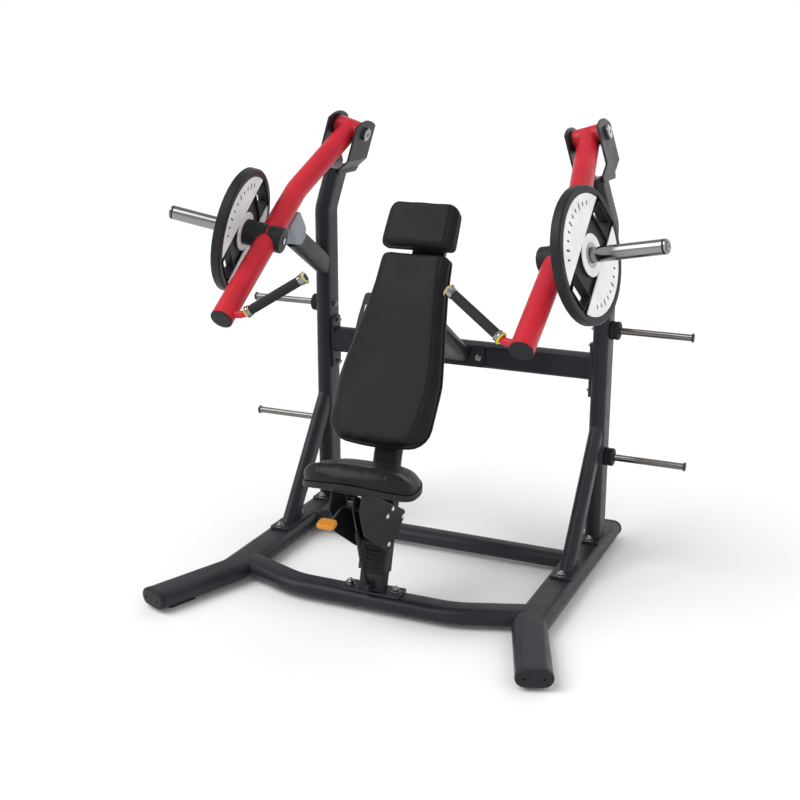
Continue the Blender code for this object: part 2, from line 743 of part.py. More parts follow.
def arm_fittings():
    """Everything that rides on an arm, as (piece, origin)."""
    plug = [(0, -0.020), (0.0316, -0.020), (0.0316, GAP), (ARM_TUBE / 2, GAP)]
    plug += [(ARM_TUBE / 2, 0.004), (ARM_TUBE / 2 - 0.003, 0.006), (0, 0.006)]
    turned("arm_plug", plug, ARM_END, ARM_DOWN, PLASTIC)
    inner, outer = HANDLE_TUBE / 2 + GAP, GRIP_DIAMETER / 2
    grip = [(inner, 0), (outer, 0), (outer, GRIP_LENGTH), (inner, GRIP_LENGTH)]
    turned("hand_grip", grip, GRIP_START, GRIP_DIRECTION, RUBBER, 20)
    end = GRIP_LENGTH + GAP
    cap = [(inner, end), (0.0165, end), (0.0185, end + 0.012), (0.0215, end + 0.020)]
    cap += [(0.0215, end + 0.024), (0, end + 0.024), (0, end + 0.0125), (inner, end + 0.0125)]
    turned("grip_end_cap", cap, GRIP_START, GRIP_DIRECTION, CHROME, 20)
    start = BOSS_OUTER + GAP
    radius = SLEEVE_DIAMETER / 2
    tip = start + SLEEVE_LENGTH
    shaft = [(0, -BOSS_INNER - 0.008), (0.012, -BOSS_INNER - 0.008)]
    shaft += [(0.012, -BOSS_INNER - 0.001), (SPIGOT / 2, -BOSS_INNER - 0.001)]
    shaft += [(SPIGOT / 2, start), (radius, start), (radius, tip - 0.014), (0.0225, tip - 0.014)]
    shaft += [(0.0225, tip - 0.008), (radius, tip - 0.008), (radius, tip - 0.003)]
    shaft += [(radius - 0.004, tip), (0, tip)]
    turned("weight_sleeve", shaft, BOSS, SLEEVE_OUT, CHROME)
    half = BRACKET_INSIDE + PLATE_STEEL
    head = half + GAP
    pin = [(0, -head - 0.014), (0.022, -head - 0.014), (0.025, -head - 0.011), (0.025, -head)]
    pin += [(PIVOT_SHAFT / 2, -head), (PIVOT_SHAFT / 2, head), (0.025, head)]
    pin += [(0.025, head + 0.011), (0.022, head + 0.014), (0, head + 0.014)]
    shaft = turned("pivot_shaft", pin, PIVOT, LEAN_OUT, CHROME)
    for sign in (-1, 1):
        ends = [PIVOT + LEAN_OUT * sign * (head + h) for h in (0.008, 0.020)]
        cut(shaft, rod("hex_socket", *ends, 0.014, CHROME, 6))
    both_sides(shaft)
    for name, sign in (("outer", 1), ("inner", -1)):
        face = BRACKET_INSIDE - GAP
        body = PIVOT_SHAFT / 2 + GAP
        bush = [(body, face), (0.042, face), (0.042, face - 0.004), (0.020, face - 0.004)]
        bush += [(0.020, face - 0.026), (body, face - 0.026)]
        piece = turned("pivot_bush_" + name, bush, PIVOT, LEAN_OUT * sign, PLASTIC)
        both_sides(piece)


def weight_disc():
    """A rubber disc with a raised rim and hub, a recessed band and two grip windows."""
    near = BOSS_OUTER + 2 * GAP
    far = near + DISC_THICKNESS
    rim, hub = DISC_DIAMETER / 2, 0.040
    bore = SLEEVE_DIAMETER / 2 + 0.0008
    web = 0.004
    face = [(bore, far), (hub, far), (hub, far - web), (0.198, far - web), (0.202, far)]
    face += [(rim - 0.005, far), (rim, far - 0.005)]
    back = [(r, near + far - h) for r, h in reversed(face)]
    disc = turned("weight_disc", face + back, BOSS, SLEEVE_OUT, RUBBER, 44)
    level = SLEEVE_OUT.cross(Z).normalized()
    up = level.cross(SLEEVE_OUT).normalized()
    turn = radians(DISC_BAND_ANGLE)
    along = -level * cos(turn) + up * sin(turn)
    if along.y < 0:
        along = level * cos(turn) + up * sin(turn)
    across = SLEEVE_OUT.cross(along)
    middle = BOSS + SLEEVE_OUT * (near + far) / 2
    half = DISC_THICKNESS / 2
    recess = [(-0.069, 0.030), (0.069, 0.030), (0.069, 0.197), (-0.069, 0.197)]
    hub_ends = [middle + SLEEVE_OUT * h for h in (-0.1, 0.1)]
    for sign in (-1, 1):
        for low, high in ((half - 0.011, half + 0.01), (-half - 0.01, -half + 0.011)):
            shape = [(u, v * sign) for u, v in recess][::sign]
            cutter = prism("cutter", shape, middle, across, along, low, high, RUBBER)
            cut(disc, cut(cutter, rod("hub", *hub_ends, 0.140, RUBBER, 28)))
        window = rounded_corners(
            [(-0.062, 0.120, 0.010), (0.062, 0.120, 0.010), (0.048, 0.186, 0.010)]
            + [(-0.048, 0.186, 0.010)],
            3,
        )
        shape = [(u, v * sign) for u, v in window][::sign]
        cut(disc, prism("cutter", shape, middle, across, along, -0.1, 0.1, RUBBER))
    return disc


# Seat carriage and its mechanism.


def carriage_plate(name, side):
    outline = rounded_corners(
        [
            (-0.980, 0.4915, 0),
            (-1.000, 0.445, 0.020),
            (-0.966, 0.349, 0.030),
            (-0.806, 0.237, 0.008),
            (-0.733, 0.245, 0.010),
            (-0.692, 0.266, 0.006),
            (-0.641, 0.320, 0.006),
            (-0.651, 0.332, 0.006),
            (-0.838, 0.435, 0.006),
            (-0.838, 0.4915, 0),
        ],
        3,
    )
    low, high = sorted((side * CARRIAGE_INSIDE, side * (CARRIAGE_INSIDE + CARRIAGE_STEEL)))
    return prism(name, outline, Vector((0, 0, 0)), Y, Z, low, high, FRAME)


def seat_carriage():
    carriage = carriage_plate("seat_carriage", 1)
    low = TRAY_TOP - 0.006
    tray = rounded_box(TRAY_WIDTH, 0.190, 0.012, 3)
    top = prism("tray", tray, Vector((0, -0.880, 0)), X, Y, low, TRAY_TOP, FRAME)
    join(carriage, top, carriage_plate("plate", -1))
    reach = CARRIAGE_INSIDE + CARRIAGE_STEEL + 0.005
    reference = COLUMN_FOOT + COLUMN_UP * 0.2888
    rollers = ((0.047, -0.002, 0.032), (0.047, -0.124, 0.032), (-0.052, -0.035, 0.052))
    for forward, up, diameter in rollers:
        point = reference + COLUMN_FORWARD * forward + COLUMN_UP * up
        inside = CARRIAGE_INSIDE + 0.001
        join(carriage, rod("roller", point - X * inside, point + X * inside, diameter, FRAME, 20))
        join(carriage, rod("bolt", point - X * reach, point + X * reach, 0.012, FRAME, 12))
    ends = [LEVER_PIVOT + X * x for x in (-0.1, 0.1)]
    cut(carriage, rod("bore", *ends, 0.0126, FRAME, 20))
    for side in (-1, 1):
        ear = [(STRUT_HIGH.y - 0.014, low), (STRUT_HIGH.y - 0.010, STRUT_HIGH.z - 0.012)]
        ear += [(STRUT_HIGH.y + 0.010, STRUT_HIGH.z - 0.012), (STRUT_HIGH.y + 0.014, low)]
        near, far = sorted((side * 0.0110, side * 0.0150))
        join(carriage, prism("ear", ear, Vector((0, 0, 0)), Y, Z, near, far, FRAME))
    ends = [STRUT_HIGH + X * x for x in (-0.017, 0.017)]
    return join(carriage, rod("pin", *ends, 0.008, FRAME, 16))


def gas_strut():
    axis = (STRUT_HIGH - STRUT_LOW).normalized()
    length = (STRUT_HIGH - STRUT_LOW).length
    body = [(0, 0.010), (0.0078, 0.010), (0.0078, 0.236), (0.0065, 0.238), (0.0044, 0.238)]
    body += [(0.0044, 0.060), (0, 0.060)]
    cylinder = turned("gas_cylinder", body, STRUT_LOW, axis, GAS_BLACK, 20)
    eye_end = [STRUT_LOW + X * x for x in (-0.0085, 0.0085)]
    join(cylinder, rod("eye", *eye_end, 0.024, GAS_BLACK, 20))
    cut(cylinder, rod("bore", *eye_end, 0.0086, GAS_BLACK, 20))
    set_origin(cylinder, STRUT_LOW)
    rod_profile = [(0, 0.160), (0.0040, 0.160), (0.0040, length - 0.010), (0, length - 0.010)]
    piston = turned("gas_rod", rod_profile, STRUT_LOW, axis, CHROME, 16)
    eye_end = [STRUT_HIGH + X * x for x in (-0.0095, 0.0095)]
    join(piston, rod("eye", *eye_end, 0.026, CHROME, 20))
    cut(piston, rod("bore", *eye_end, 0.0160, CHROME, 20))
    set_origin(piston, STRUT_LOW)


def release_lever():
    outside = CARRIAGE_INSIDE + CARRIAGE_STEEL
    corners = [
        LEVER_PIVOT + X * (outside + 0.012),
        LEVER_PIVOT - X * (outside + 0.034),
        LEVER_PIVOT - X * (outside + 0.034) + Vector((0, -0.120, 0.012)),
    ]
    lever = tube("release_lever", rounded_path(corners, 0.014, 4), circle(0.0110, 16), Z, ORANGE)
    point = corners[-1] + Vector((-0.004, -0.030, -0.004))
    tilt = Matrix.Rotation(radians(14), 3, "X")
    outline = rounded_box(0.062, 0.070, 0.012, 4)
    paddle = prism("paddle", outline, point, tilt @ X, tilt @ Y, -0.008, 0.008, ORANGE)
    join(lever, paddle)
    set_origin(lever, LEVER_PIVOT)
    tip = LEVER_PIVOT - COLUMN_FORWARD * LATCH_REACH
    tail = LEVER_PIVOT - COLUMN_FORWARD * 0.016
    latch = tube("latch_tooth", [tip, tail], rounded_box(0.048, 0.0056, 0.001, 1), X, STEEL)
    set_origin(latch, LEVER_PIVOT)


def place_moving_origins():
    """Puts each moving piece's origin on its joint axis."""
    for name in ("press_arm", "arm_plug", "hand_grip", "grip_end_cap", "weight_sleeve"):
        right, left = both_sides(bpy.data.objects[name])
        set_origin(right, PIVOT)
        set_origin(left, Vector((-PIVOT.x, PIVOT.y, PIVOT.z)))
    right, left = both_sides(bpy.data.objects["weight_disc"])
    set_origin(right, BOSS)
    set_origin(left, Vector((-BOSS.x, BOSS.y, BOSS.z)))


def centre_on_origin():
    for piece in PARTS.objects:
        piece.location.y += ORIGIN_SHIFT


for leftover in list(bpy.data.objects):
    bpy.data.objects.remove(leftover)

PARTS = new_collection("chest_press_machine")
FRAME = new_material("frame_paint", (0.035, 0.038, 0.045), 0.3, 0.42)
ARM_RED = new_material("arm_paint", (0.55, 0.015, 0.030), 0.2, 0.35)
STEEL = new_material("zinc_steel", (0.62, 0.62, 0.63), 1.0, 0.30)
CHROME = new_material("chrome", (0.80, 0.80, 0.81), 1.0, 0.12)
BUMPER = new_material("grey_rubber", (0.175, 0.185, 0.215), 0.0, 0.60)
RUBBER = new_material("black_rubber", (0.020, 0.020, 0.021), 0.0, 0.75)
PLASTIC = new_material("black_plastic", (0.022, 0.022, 0.024), 0.0, 0.50)
RACK_BLACK = new_material("rack_coating", (0.018, 0.018, 0.019), 0.1, 0.60)
GAS_BLACK = new_material("strut_coating", (0.025, 0.025, 0.027), 0.3, 0.35)
ORANGE = new_material("lever_paint", (0.75, 0.30, 0.03), 0.0, 0.45)
LEATHER = new_material("black_leather", (0.018, 0.018, 0.019), 0.0, 0.55)

base_frame()
crossbars()
upright()
brace()
pivot_bracket()
stop()
storage_pegs()
mid_beam()
back_support()
seat_column()
rack()
back_frame()
pads()
seat_pad()
accessory_bracket()
press_arm()
arm_fittings()
weight_disc()
place_moving_origins()
seat_carriage()
gas_strut()
release_lever()
centre_on_origin()
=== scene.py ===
import json
from math import cos, pi, radians, sin

import bmesh
import bpy
import numpy as np
from mathutils import Matrix, Vector


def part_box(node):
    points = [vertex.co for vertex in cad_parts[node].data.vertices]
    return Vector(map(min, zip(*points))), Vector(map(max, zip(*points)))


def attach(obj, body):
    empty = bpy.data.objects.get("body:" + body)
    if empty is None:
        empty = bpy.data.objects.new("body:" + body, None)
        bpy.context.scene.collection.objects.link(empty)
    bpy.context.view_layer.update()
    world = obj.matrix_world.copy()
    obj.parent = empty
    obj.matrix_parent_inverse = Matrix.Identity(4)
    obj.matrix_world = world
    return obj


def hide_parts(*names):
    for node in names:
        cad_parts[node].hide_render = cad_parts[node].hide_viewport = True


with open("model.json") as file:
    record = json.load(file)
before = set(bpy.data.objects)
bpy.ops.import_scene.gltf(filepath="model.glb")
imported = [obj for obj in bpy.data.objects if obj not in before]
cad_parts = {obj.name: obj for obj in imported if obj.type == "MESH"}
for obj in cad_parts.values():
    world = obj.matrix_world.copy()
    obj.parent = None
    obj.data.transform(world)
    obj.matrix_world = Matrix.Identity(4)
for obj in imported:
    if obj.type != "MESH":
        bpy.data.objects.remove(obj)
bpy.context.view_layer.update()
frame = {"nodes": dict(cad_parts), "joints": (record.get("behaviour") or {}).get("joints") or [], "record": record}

NODES = frame["nodes"]
JOINTS = {joint["name"]: joint for joint in frame["joints"]}

X, Y, Z = Vector((1, 0, 0)), Vector((0, 1, 0)), Vector((0, 0, 1))
SIDES = (("right", 1), ("left", -1))

# Sizes and settings that the record doesn't give. Lengths are in metres, angles in degrees.

# Pads. A cushion starts smaller than its CAD pad, and the filling pushes it out.
SLACK = 0.0025
VOXEL = 0.005
SIMULATED_FRAMES = 20
SMOOTHING_ROUNDS = 12
SEAM_DEPTH = 0.0022
SEAM_WIDTH = 0.0028
BAND_HEIGHT = 0.013  # the lower seam, above the board
PAD_BOARD = 0.010  # thickness of the board under the back and head pads
SEAT_BOARD = 0.017
BACK_LENGTH = 0.694
SEAT_WIDEST = 0.096  # from the seat's front edge back to its widest place
SEAT_DROOP = 0.030  # how much lower the CAD seat's sides are than its middle

# Arms and discs.
SLEEVE_MOUNT = 0.250  # from the arm's middle out to the point that the record gives
ARM_RADIUS = 0.0404  # the arm's tube, with a little room round it
HALF_DISC = 0.018
WEB = 0.004  # depth of a disc's recessed faces
BAND_ANGLE = 41.0  # from level to the black band across a disc
BAND_HALF = 0.0697  # half the band's width, and the radius of the hub
FIELD_RADIUS = 0.1972
BORE_CLEAR = 0.0406
WINDOW_REACH = (0.120, 0.186)  # from the disc's middle out
WINDOW_HALVES = (0.062, 0.048)  # half widths, near the middle and far out
WINDOW_DEPTH = 0.0165
WINDOW_LINING = (-0.0005, 0.0030)  # the lining's outer and inner faces, in from the window's
MARKS = 10  # on each half of a face
MARK_RADIUS = 0.166
MARK_SPAN = 46  # either way from the middle of a half
MARK_LENGTHS = (0.0135, 0.0085)  # long and short, each a half length

# Frame and seat mechanism.
TUBE_HALF = 0.030
TOUCH = 0.0003  # clearance that the CAD leaves between touching pieces
PLATE = 0.008
LID_DROP = 0.1465  # from the pivot down to the upright's cut top
FRAME_BOLT, SMALL_BOLT = 0.016, 0.012
LEVER_PATH = ((-0.020, 0.0, 0.0), (-0.020, -0.174, 0.087), (-0.038, -0.226, 0.050))
LEVER_ROD = 0.0045
LEVER_BEND = 0.022  # from a corner back to where its curve starts
PADDLE_AT = (-0.043, -0.245, 0.045)
PADDLE_TILT = 12.0
CARRIAGE_STEEL = 0.005

# Looks and light.
RIB_PITCH = 0.0032
SPECULAR = 0.19  # of paint, rubber, plastic and leather
FLOOR_RADIUS = 40


def middle(node):
    low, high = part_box(node)
    return (low + high) / 2


# Materials. Each one is built from nodes, in metres of the object's own space.


def shader_tree(name, colour, roughness, metallic=0.0, **sockets):
    """A new material and its parts. The sockets are values that hold all over the surface."""
    material = bpy.data.materials.new(name)
    material.use_nodes = True
    tree = material.node_tree
    shader = tree.nodes["Principled BSDF"]
    shader.inputs["Base Color"].default_value = (*colour, 1)
    shader.inputs["Roughness"].default_value = roughness
    shader.inputs["Metallic"].default_value = metallic
    for socket, value in sockets.items():
        shader.inputs[socket.replace("_", " ")].default_value = value
    if metallic == 0:
        shader.inputs["Specular IOR Level"].default_value = SPECULAR
    place = tree.nodes.new("ShaderNodeTexCoord").outputs["Object"]
    return material, tree, shader, place


def noise(tree, place, scale, detail=3.0, roughness=0.5):
    node = tree.nodes.new("ShaderNodeTexNoise")
    node.inputs["Scale"].default_value = scale
    node.inputs["Detail"].default_value = detail
    node.inputs["Roughness"].default_value = roughness
    tree.links.new(place, node.inputs["Vector"])
    return node.outputs["Fac"]


def cells(tree, place, scale):
    node = tree.nodes.new("ShaderNodeTexVoronoi")
    node.feature = "SMOOTH_F1"
    node.inputs["Scale"].default_value = scale
    tree.links.new(place, node.inputs["Vector"])
    return node.outputs["Distance"]


def remap(tree, value, low, high, new_low, new_high):
    node = tree.nodes.new("ShaderNodeMapRange")
    for socket, number in zip(("From Min", "From Max"), (low, high)):
        node.inputs[socket].default_value = number
    for socket, number in zip(("To Min", "To Max"), (new_low, new_high)):
        node.inputs[socket].default_value = number
    tree.links.new(value, node.inputs["Value"])
    return node.outputs["Result"]


def mixed(tree, factor, first, second):
    """Two colours, each an (r, g, b) or a socket, mixed by a factor."""
    node = tree.nodes.new("ShaderNodeMix")
    node.data_type = "RGBA"
    tree.links.new(factor, node.inputs["Factor"])
    for name, colour in (("A", first), ("B", second)):
        socket = next(s for s in node.inputs if s.name == name and s.type == "RGBA")
        if isinstance(colour, tuple):
            socket.default_value = (*colour, 1)
        else:
            tree.links.new(colour, socket)
    return next(s for s in node.outputs if s.type == "RGBA")


def bump(tree, shader, height, strength, distance, under=None):
    node = tree.nodes.new("ShaderNodeBump")
    node.inputs["Strength"].default_value = strength
    node.inputs["Distance"].default_value = distance
    tree.links.new(height, node.inputs["Height"])
    if under is not None:
        tree.links.new(under, node.inputs["Normal"])
    tree.links.new(node.outputs["Normal"], shader.inputs["Normal"])
    return node.outputs["Normal"]


def edge_wear_and_highlight(tree):
    """0 on flat metal, rising to 1 on its sharpest outer edges, where the paint is rubbed and a highlight is
    painted.
    """
    pointiness = tree.nodes.new("ShaderNodeNewGeometry").outputs["Pointiness"]
    return remap(tree, pointiness, 0.53, 0.60, 0.0, 1.0)


def powder_coat(name, colour, worn_and_highlit, roughness=0.40):
    """Baked paint: an orange-peel skin, faint cloudiness and edges painted lighter, partly as rubbed paint and
    partly as a painted highlight.
    """
    material, tree, shader, place = shader_tree(
        name, colour, roughness, Coat_Weight=0.06, Coat_Roughness=0.30
    )
    cloud = noise(tree, place, 5.0)
    paler = tuple(min(1.0, c * 1.22 + 0.002) for c in colour)
    body = mixed(tree, remap(tree, cloud, 0.35, 0.65, 0.0, 1.0), colour, paler)
    fleck = remap(tree, noise(tree, place, 540.0, 1.0), 0.56, 0.72, 0.0, 0.35)
    body = mixed(tree, fleck, body, paler)
    # The sharpest edges are painted lighter: rubbed paint, and a painted highlight along them.
    skin = mixed(tree, edge_wear_and_highlight(tree), body, worn_and_highlit)
    tree.links.new(skin, shader.inputs["Base Color"])
    smear = noise(tree, place, 22.0, 4.0)
    rough = remap(tree, smear, 0.3, 0.7, roughness - 0.05, roughness + 0.07)
    tree.links.new(rough, shader.inputs["Roughness"])
    bump(tree, shader, noise(tree, place, 900.0, 2.0), 0.16, 0.0006)
    return material


def bright_metal(name, colour, roughness):
    """Plated or polished steel with faint polishing lines and handling marks."""
    material, tree, shader, place = shader_tree(name, colour, roughness, 1.0)
    stretch = tree.nodes.new("ShaderNodeMapping")
    stretch.inputs["Scale"].default_value = (1.0, 0.25, 0.25)
    tree.links.new(place, stretch.inputs["Vector"])
    lines = noise(tree, stretch.outputs["Vector"], 260.0, 4.0, 0.65)
    marks = noise(tree, place, 14.0, 5.0, 0.6)
    rough = remap(tree, marks, 0.35, 0.70, roughness * 0.7, roughness * 1.6)
    tree.links.new(rough, shader.inputs["Roughness"])
    darker = tuple(c * 0.86 for c in colour)
    tint = mixed(tree, remap(tree, marks, 0.30, 0.75, 0.0, 1.0), colour, darker)
    tree.links.new(tint, shader.inputs["Base Color"])
    bump(tree, shader, lines, 0.05, 0.0003)
    return material


def leather(name, colour, crease_shade, roughness, shine):
    """Coated upholstery cloth: pebbled cells with painted shade in the creases between them, coarse and fine
    flecks and a dusty sheen.
    """
    material, tree, shader, place = shader_tree(
        name, colour, roughness, Sheen_Weight=0.02, Sheen_Roughness=0.45, Coat_Weight=shine
    )
    shader.inputs["Coat Roughness"].default_value = 0.28
    pebbles = cells(tree, place, 420.0)
    pores = noise(tree, place, 302.4, 3.0, 0.7)
    patch = noise(tree, place, 6.0, 4.0)
    # The creases between the pebbles take a darker colour: painted shade.
    body = mixed(tree, remap(tree, pebbles, 0.15, 0.75, 0.0, 1.0), colour, crease_shade)
    speckle = remap(tree, pores, 0.54, 0.70, 0.0, 1.0)
    lighter = tuple(c * 2.6 + 0.004 for c in colour)
    body = mixed(tree, speckle, body, lighter)
    body = mixed(tree, remap(tree, patch, 0.40, 0.75, 0.0, 0.25), body, lighter)
    tree.links.new(body, shader.inputs["Base Color"])
    spread = remap(tree, patch, 0.3, 0.7, roughness - 0.07, roughness + 0.07)
    tree.links.new(spread, shader.inputs["Roughness"])
    normal = bump(tree, shader, pebbles, 0.35, -0.0005)
    bump(tree, shader, pores, 0.30, 0.0004, normal)
    return material


def moulded(name, colour, roughness, grain=700.0, depth=0.0004, strength=0.25):
    """Moulded rubber or plastic: a fine spark-eroded texture and faint dust."""
    material, tree, shader, place = shader_tree(name, colour, roughness)
    texture = noise(tree, place, grain, 3.0, 0.6)
    dust = noise(tree, place, 9.0, 5.0, 0.6)
    paler = tuple(min(1.0, c * 1.25 + 0.003) for c in colour)
    body = mixed(tree, remap(tree, dust, 0.40, 0.72, 0.0, 1.0), colour, paler)
    tree.links.new(body, shader.inputs["Base Color"])
    spread = remap(tree, dust, 0.3, 0.7, roughness - 0.05, roughness + 0.06)
    tree.links.new(spread, shader.inputs["Roughness"])
    bump(tree, shader, texture, strength, depth)
    return material


def ribbed_rubber(name, colour, axis):
    """Foam-rubber grip: shallow rings along the grip's axis over a soft grain, with a painted highlight on each
    ring's crest and painted shade in its groove.
    """
    material, tree, shader, place = shader_tree(name, colour, 0.62)
    dot = tree.nodes.new("ShaderNodeVectorMath")
    dot.operation = "DOT_PRODUCT"
    dot.inputs[1].default_value = axis
    tree.links.new(place, dot.inputs[0])
    wave = tree.nodes.new("ShaderNodeMath")
    wave.operation = "SINE"
    turns = tree.nodes.new("ShaderNodeMath")
    turns.operation = "MULTIPLY"
    turns.inputs[1].default_value = 2 * pi / RIB_PITCH
    tree.links.new(dot.outputs["Value"], turns.inputs[0])
    tree.links.new(turns.outputs[0], wave.inputs[0])
    # Painted highlight on the rings' crests and painted shade in their grooves, following the bump.
    paler = tuple(c * 1.5 + 0.004 for c in colour)
    body = mixed(tree, remap(tree, wave.outputs[0], -1.0, 1.0, 0.0, 1.0), colour, paler)
    tree.links.new(body, shader.inputs["Base Color"])
    normal = bump(tree, shader, wave.outputs[0], 0.35, 0.0005)
    bump(tree, shader, noise(tree, place, 900.0), 0.2, 0.0003, normal)
    return material


# Each powder coat's second colour goes on its sharpest edges: rubbed paint and a painted edge highlight.
FRAME_PAINT = powder_coat("frame_paint_look", (0.0120, 0.0130, 0.0172), (0.045, 0.047, 0.056))
ARM_PAINT = powder_coat("arm_paint_look", (0.475, 0.016, 0.030), (0.60, 0.065, 0.080), 0.34)
CHROME = bright_metal("chrome_look", (0.31, 0.305, 0.298), 0.15)
ZINC = bright_metal("zinc_look", (0.42, 0.42, 0.425), 0.22)
PEG_STEEL = bright_metal("peg_look", (0.185, 0.178, 0.172), 0.20)
DARK_STEEL = bright_metal("dark_steel_look", (0.060, 0.061, 0.064), 0.24)
# Each leather's second colour is painted shade for the creases between its pebbles.
LEATHER = leather("leather_look", (0.0050, 0.0055, 0.0075), (0.0028, 0.0030, 0.0042), 0.55, 0.02)
SEAT_LEATHER = leather(
    "seat_look", (0.0055, 0.0058, 0.0070), (0.0032, 0.0033, 0.0040), 0.46, 0.08
)
DISC_RUBBER = moulded("disc_rubber_look", (0.0130, 0.0137, 0.0165), 0.42, 520.0)
SOFT_RUBBER = moulded("soft_rubber_look", (0.0120, 0.0122, 0.0130), 0.62, 600.0)
BLACK_PLASTIC = moulded("black_plastic_look", (0.0150, 0.0158, 0.0188), 0.46, 1100.0)
BUMPER_GREY = moulded("bumper_look", (0.290, 0.305, 0.345), 0.58, 420.0)
DISC_WHITE = moulded("disc_white_look", (0.80, 0.808, 0.825), 0.40, 800.0, 0.0002, 0.12)
ORANGE = moulded("orange_look", (0.56, 0.222, 0.030), 0.42, 900.0)
BOLT = bright_metal("bolt_look", (0.86, 0.86, 0.865), 0.34)
YELLOW = moulded("yellow_look", (0.70, 0.58, 0.02), 0.42, 900.0)
RACK_BLACK = powder_coat("rack_look", (0.0075, 0.0075, 0.0080), (0.035, 0.035, 0.036), 0.52)
GAS_BLACK = powder_coat("gas_strut_look", (0.0080, 0.0080, 0.0085), (0.035, 0.035, 0.036), 0.34)
PLATE_BLACK = powder_coat("plate_look", (0.0085, 0.0089, 0.0105), (0.040, 0.041, 0.045), 0.46)
MARK_DARK = moulded("mark_look", (0.050, 0.052, 0.060), 0.45)


# Shapes.


def new_object(name, mesh, material):
    """An object from a bmesh, with its faces turned outwards."""
    bmesh.ops.recalc_face_normals(mesh, faces=mesh.faces)
    data = bpy.data.meshes.new(name)
    mesh.to_mesh(data)
    mesh.free()
    data.materials.append(material)
    made = bpy.data.objects.new(name, data)
    bpy.context.scene.collection.objects.link(made)
    return made


def smooth(piece, angle=38):
    """Smooth shading, with edges sharper than the angle kept crisp."""
    data = piece.data
    data.shade_smooth()
    data.set_sharp_from_angle(angle=radians(angle))
    return piece


def round_edges(piece, width, segments=2, angle=35):
    modifier = piece.modifiers.new("round_edges", "BEVEL")
    modifier.width = width
    modifier.segments = segments
    modifier.limit_method = "ANGLE"
    modifier.angle_limit = radians(angle)
    modifier.harden_normals = True
    return piece


def finish_piece(piece, body):
    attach(piece, body)
    return piece


def baked(piece):
    """The piece with its modifiers applied, so that it can be cut again or measured."""
    graph = bpy.context.evaluated_depsgraph_get()
    data = bpy.data.meshes.new_from_object(piece.evaluated_get(graph))
    piece.modifiers.clear()
    old, piece.data = piece.data, data
    bpy.data.meshes.remove(old)
    return piece


def combine(target, tool, operation):
    modifier = target.modifiers.new(operation, "BOOLEAN")
    modifier.operation = operation
    modifier.solver = "EXACT"
    modifier.object = tool
    baked(target)
    bpy.data.objects.remove(tool)
    return target


def across(axis):
    """Two unit vectors square to an axis and to each other, the first as upright as can be."""
    side = (Z - Z.dot(axis) * axis).normalized() if abs(axis.z) < 0.99 else X.copy()
    return side, axis.cross(side)


def turned(name, profile, origin, axis, material, steps=48):
    """A closed (radius, height) profile turned round an axis. A radius of 0 lies on it."""
    side, other = across(axis)
    mesh = bmesh.new()
    rows = []
    for radius, height in profile:
        centre = origin + height * axis
        count = steps if radius else 1
        angles = [2 * pi * i / steps for i in range(count)]
        rows.append(
            [mesh.verts.new(centre + radius * (cos(a) * side + sin(a) * other)) for a in angles]
        )
    for low, high in zip(rows, rows[1:] + rows[:1]):
        for i in range(steps if max(len(low), len(high)) > 1 else 0):
            corners = []
            for row, first, second in ((low, i - 1, i), (high, i, i - 1)):
                picks = (first, second) if len(row) > 1 else (0,)
                corners += [row[pick] for pick in picks]
            mesh.faces.new(corners)
    return new_object(name, mesh, material)


def prism(name, outline, origin, u_axis, v_axis, low, high, material):
    """A (u, v) outline drawn out along u x v, from low to high."""
    normal = u_axis.cross(v_axis)
    mesh = bmesh.new()
    rings = []
    for height in (low, high):
        flat = [origin + u * u_axis + v * v_axis + height * normal for u, v in outline]
        rings.append([mesh.verts.new(p) for p in flat])
    for i in range(len(outline)):
        mesh.faces.new((rings[0][i - 1], rings[0][i], rings[1][i], rings[1][i - 1]))
    mesh.faces.new(rings[0])
    mesh.faces.new(reversed(rings[1]))
    return new_object(name, mesh, material)


def rounded_box(width, height, radius, steps=5):
    u, v = width / 2 - radius, height / 2 - radius
    points = []
    for i, (cu, cv) in enumerate(((u, v), (-u, v), (-u, -v), (u, -v))):
        for step in range(steps + 1):
            angle = radians(90 * (i + step / steps))
            points.append((cu + radius * cos(angle), cv + radius * sin(angle)))
    return points


def wire(name, points, radius, material):
    """A round rod along the points, as a mesh."""
    curve = bpy.data.curves.new(name, "CURVE")
    curve.dimensions = "3D"
    curve.bevel_depth = radius
    curve.bevel_resolution = 3
    curve.use_fill_caps = True
    spline = curve.splines.new("POLY")
    spline.points.add(len(points) - 1)
    for point, place in zip(spline.points, points):
        point.co = (*place, 1)
    holder = bpy.data.objects.new(name + "_line", curve)
    bpy.context.scene.collection.objects.link(holder)
    graph = bpy.context.evaluated_depsgraph_get()
    data = bpy.data.meshes.new_from_object(holder.evaluated_get(graph))
    bpy.data.objects.remove(holder)
    data.materials.clear()
    data.materials.append(material)
    made = bpy.data.objects.new(name, data)
    bpy.context.scene.collection.objects.link(made)
    data.shade_smooth()
    return made


# The CAD nodes keep their shape and get a finish, softened edges and smooth shading.

FINISHES = {
    "frame_paint": FRAME_PAINT,
    "arm_paint": ARM_PAINT,
    "zinc_steel": ZINC,
    "chrome": CHROME,
    "black_rubber": SOFT_RUBBER,
    "grey_rubber": BUMPER_GREY,
    "black_plastic": BLACK_PLASTIC,
    "rack_coating": RACK_BLACK,
    "strut_coating": GAS_BLACK,
    "lever_paint": ORANGE,
    "black_leather": LEATHER,
}

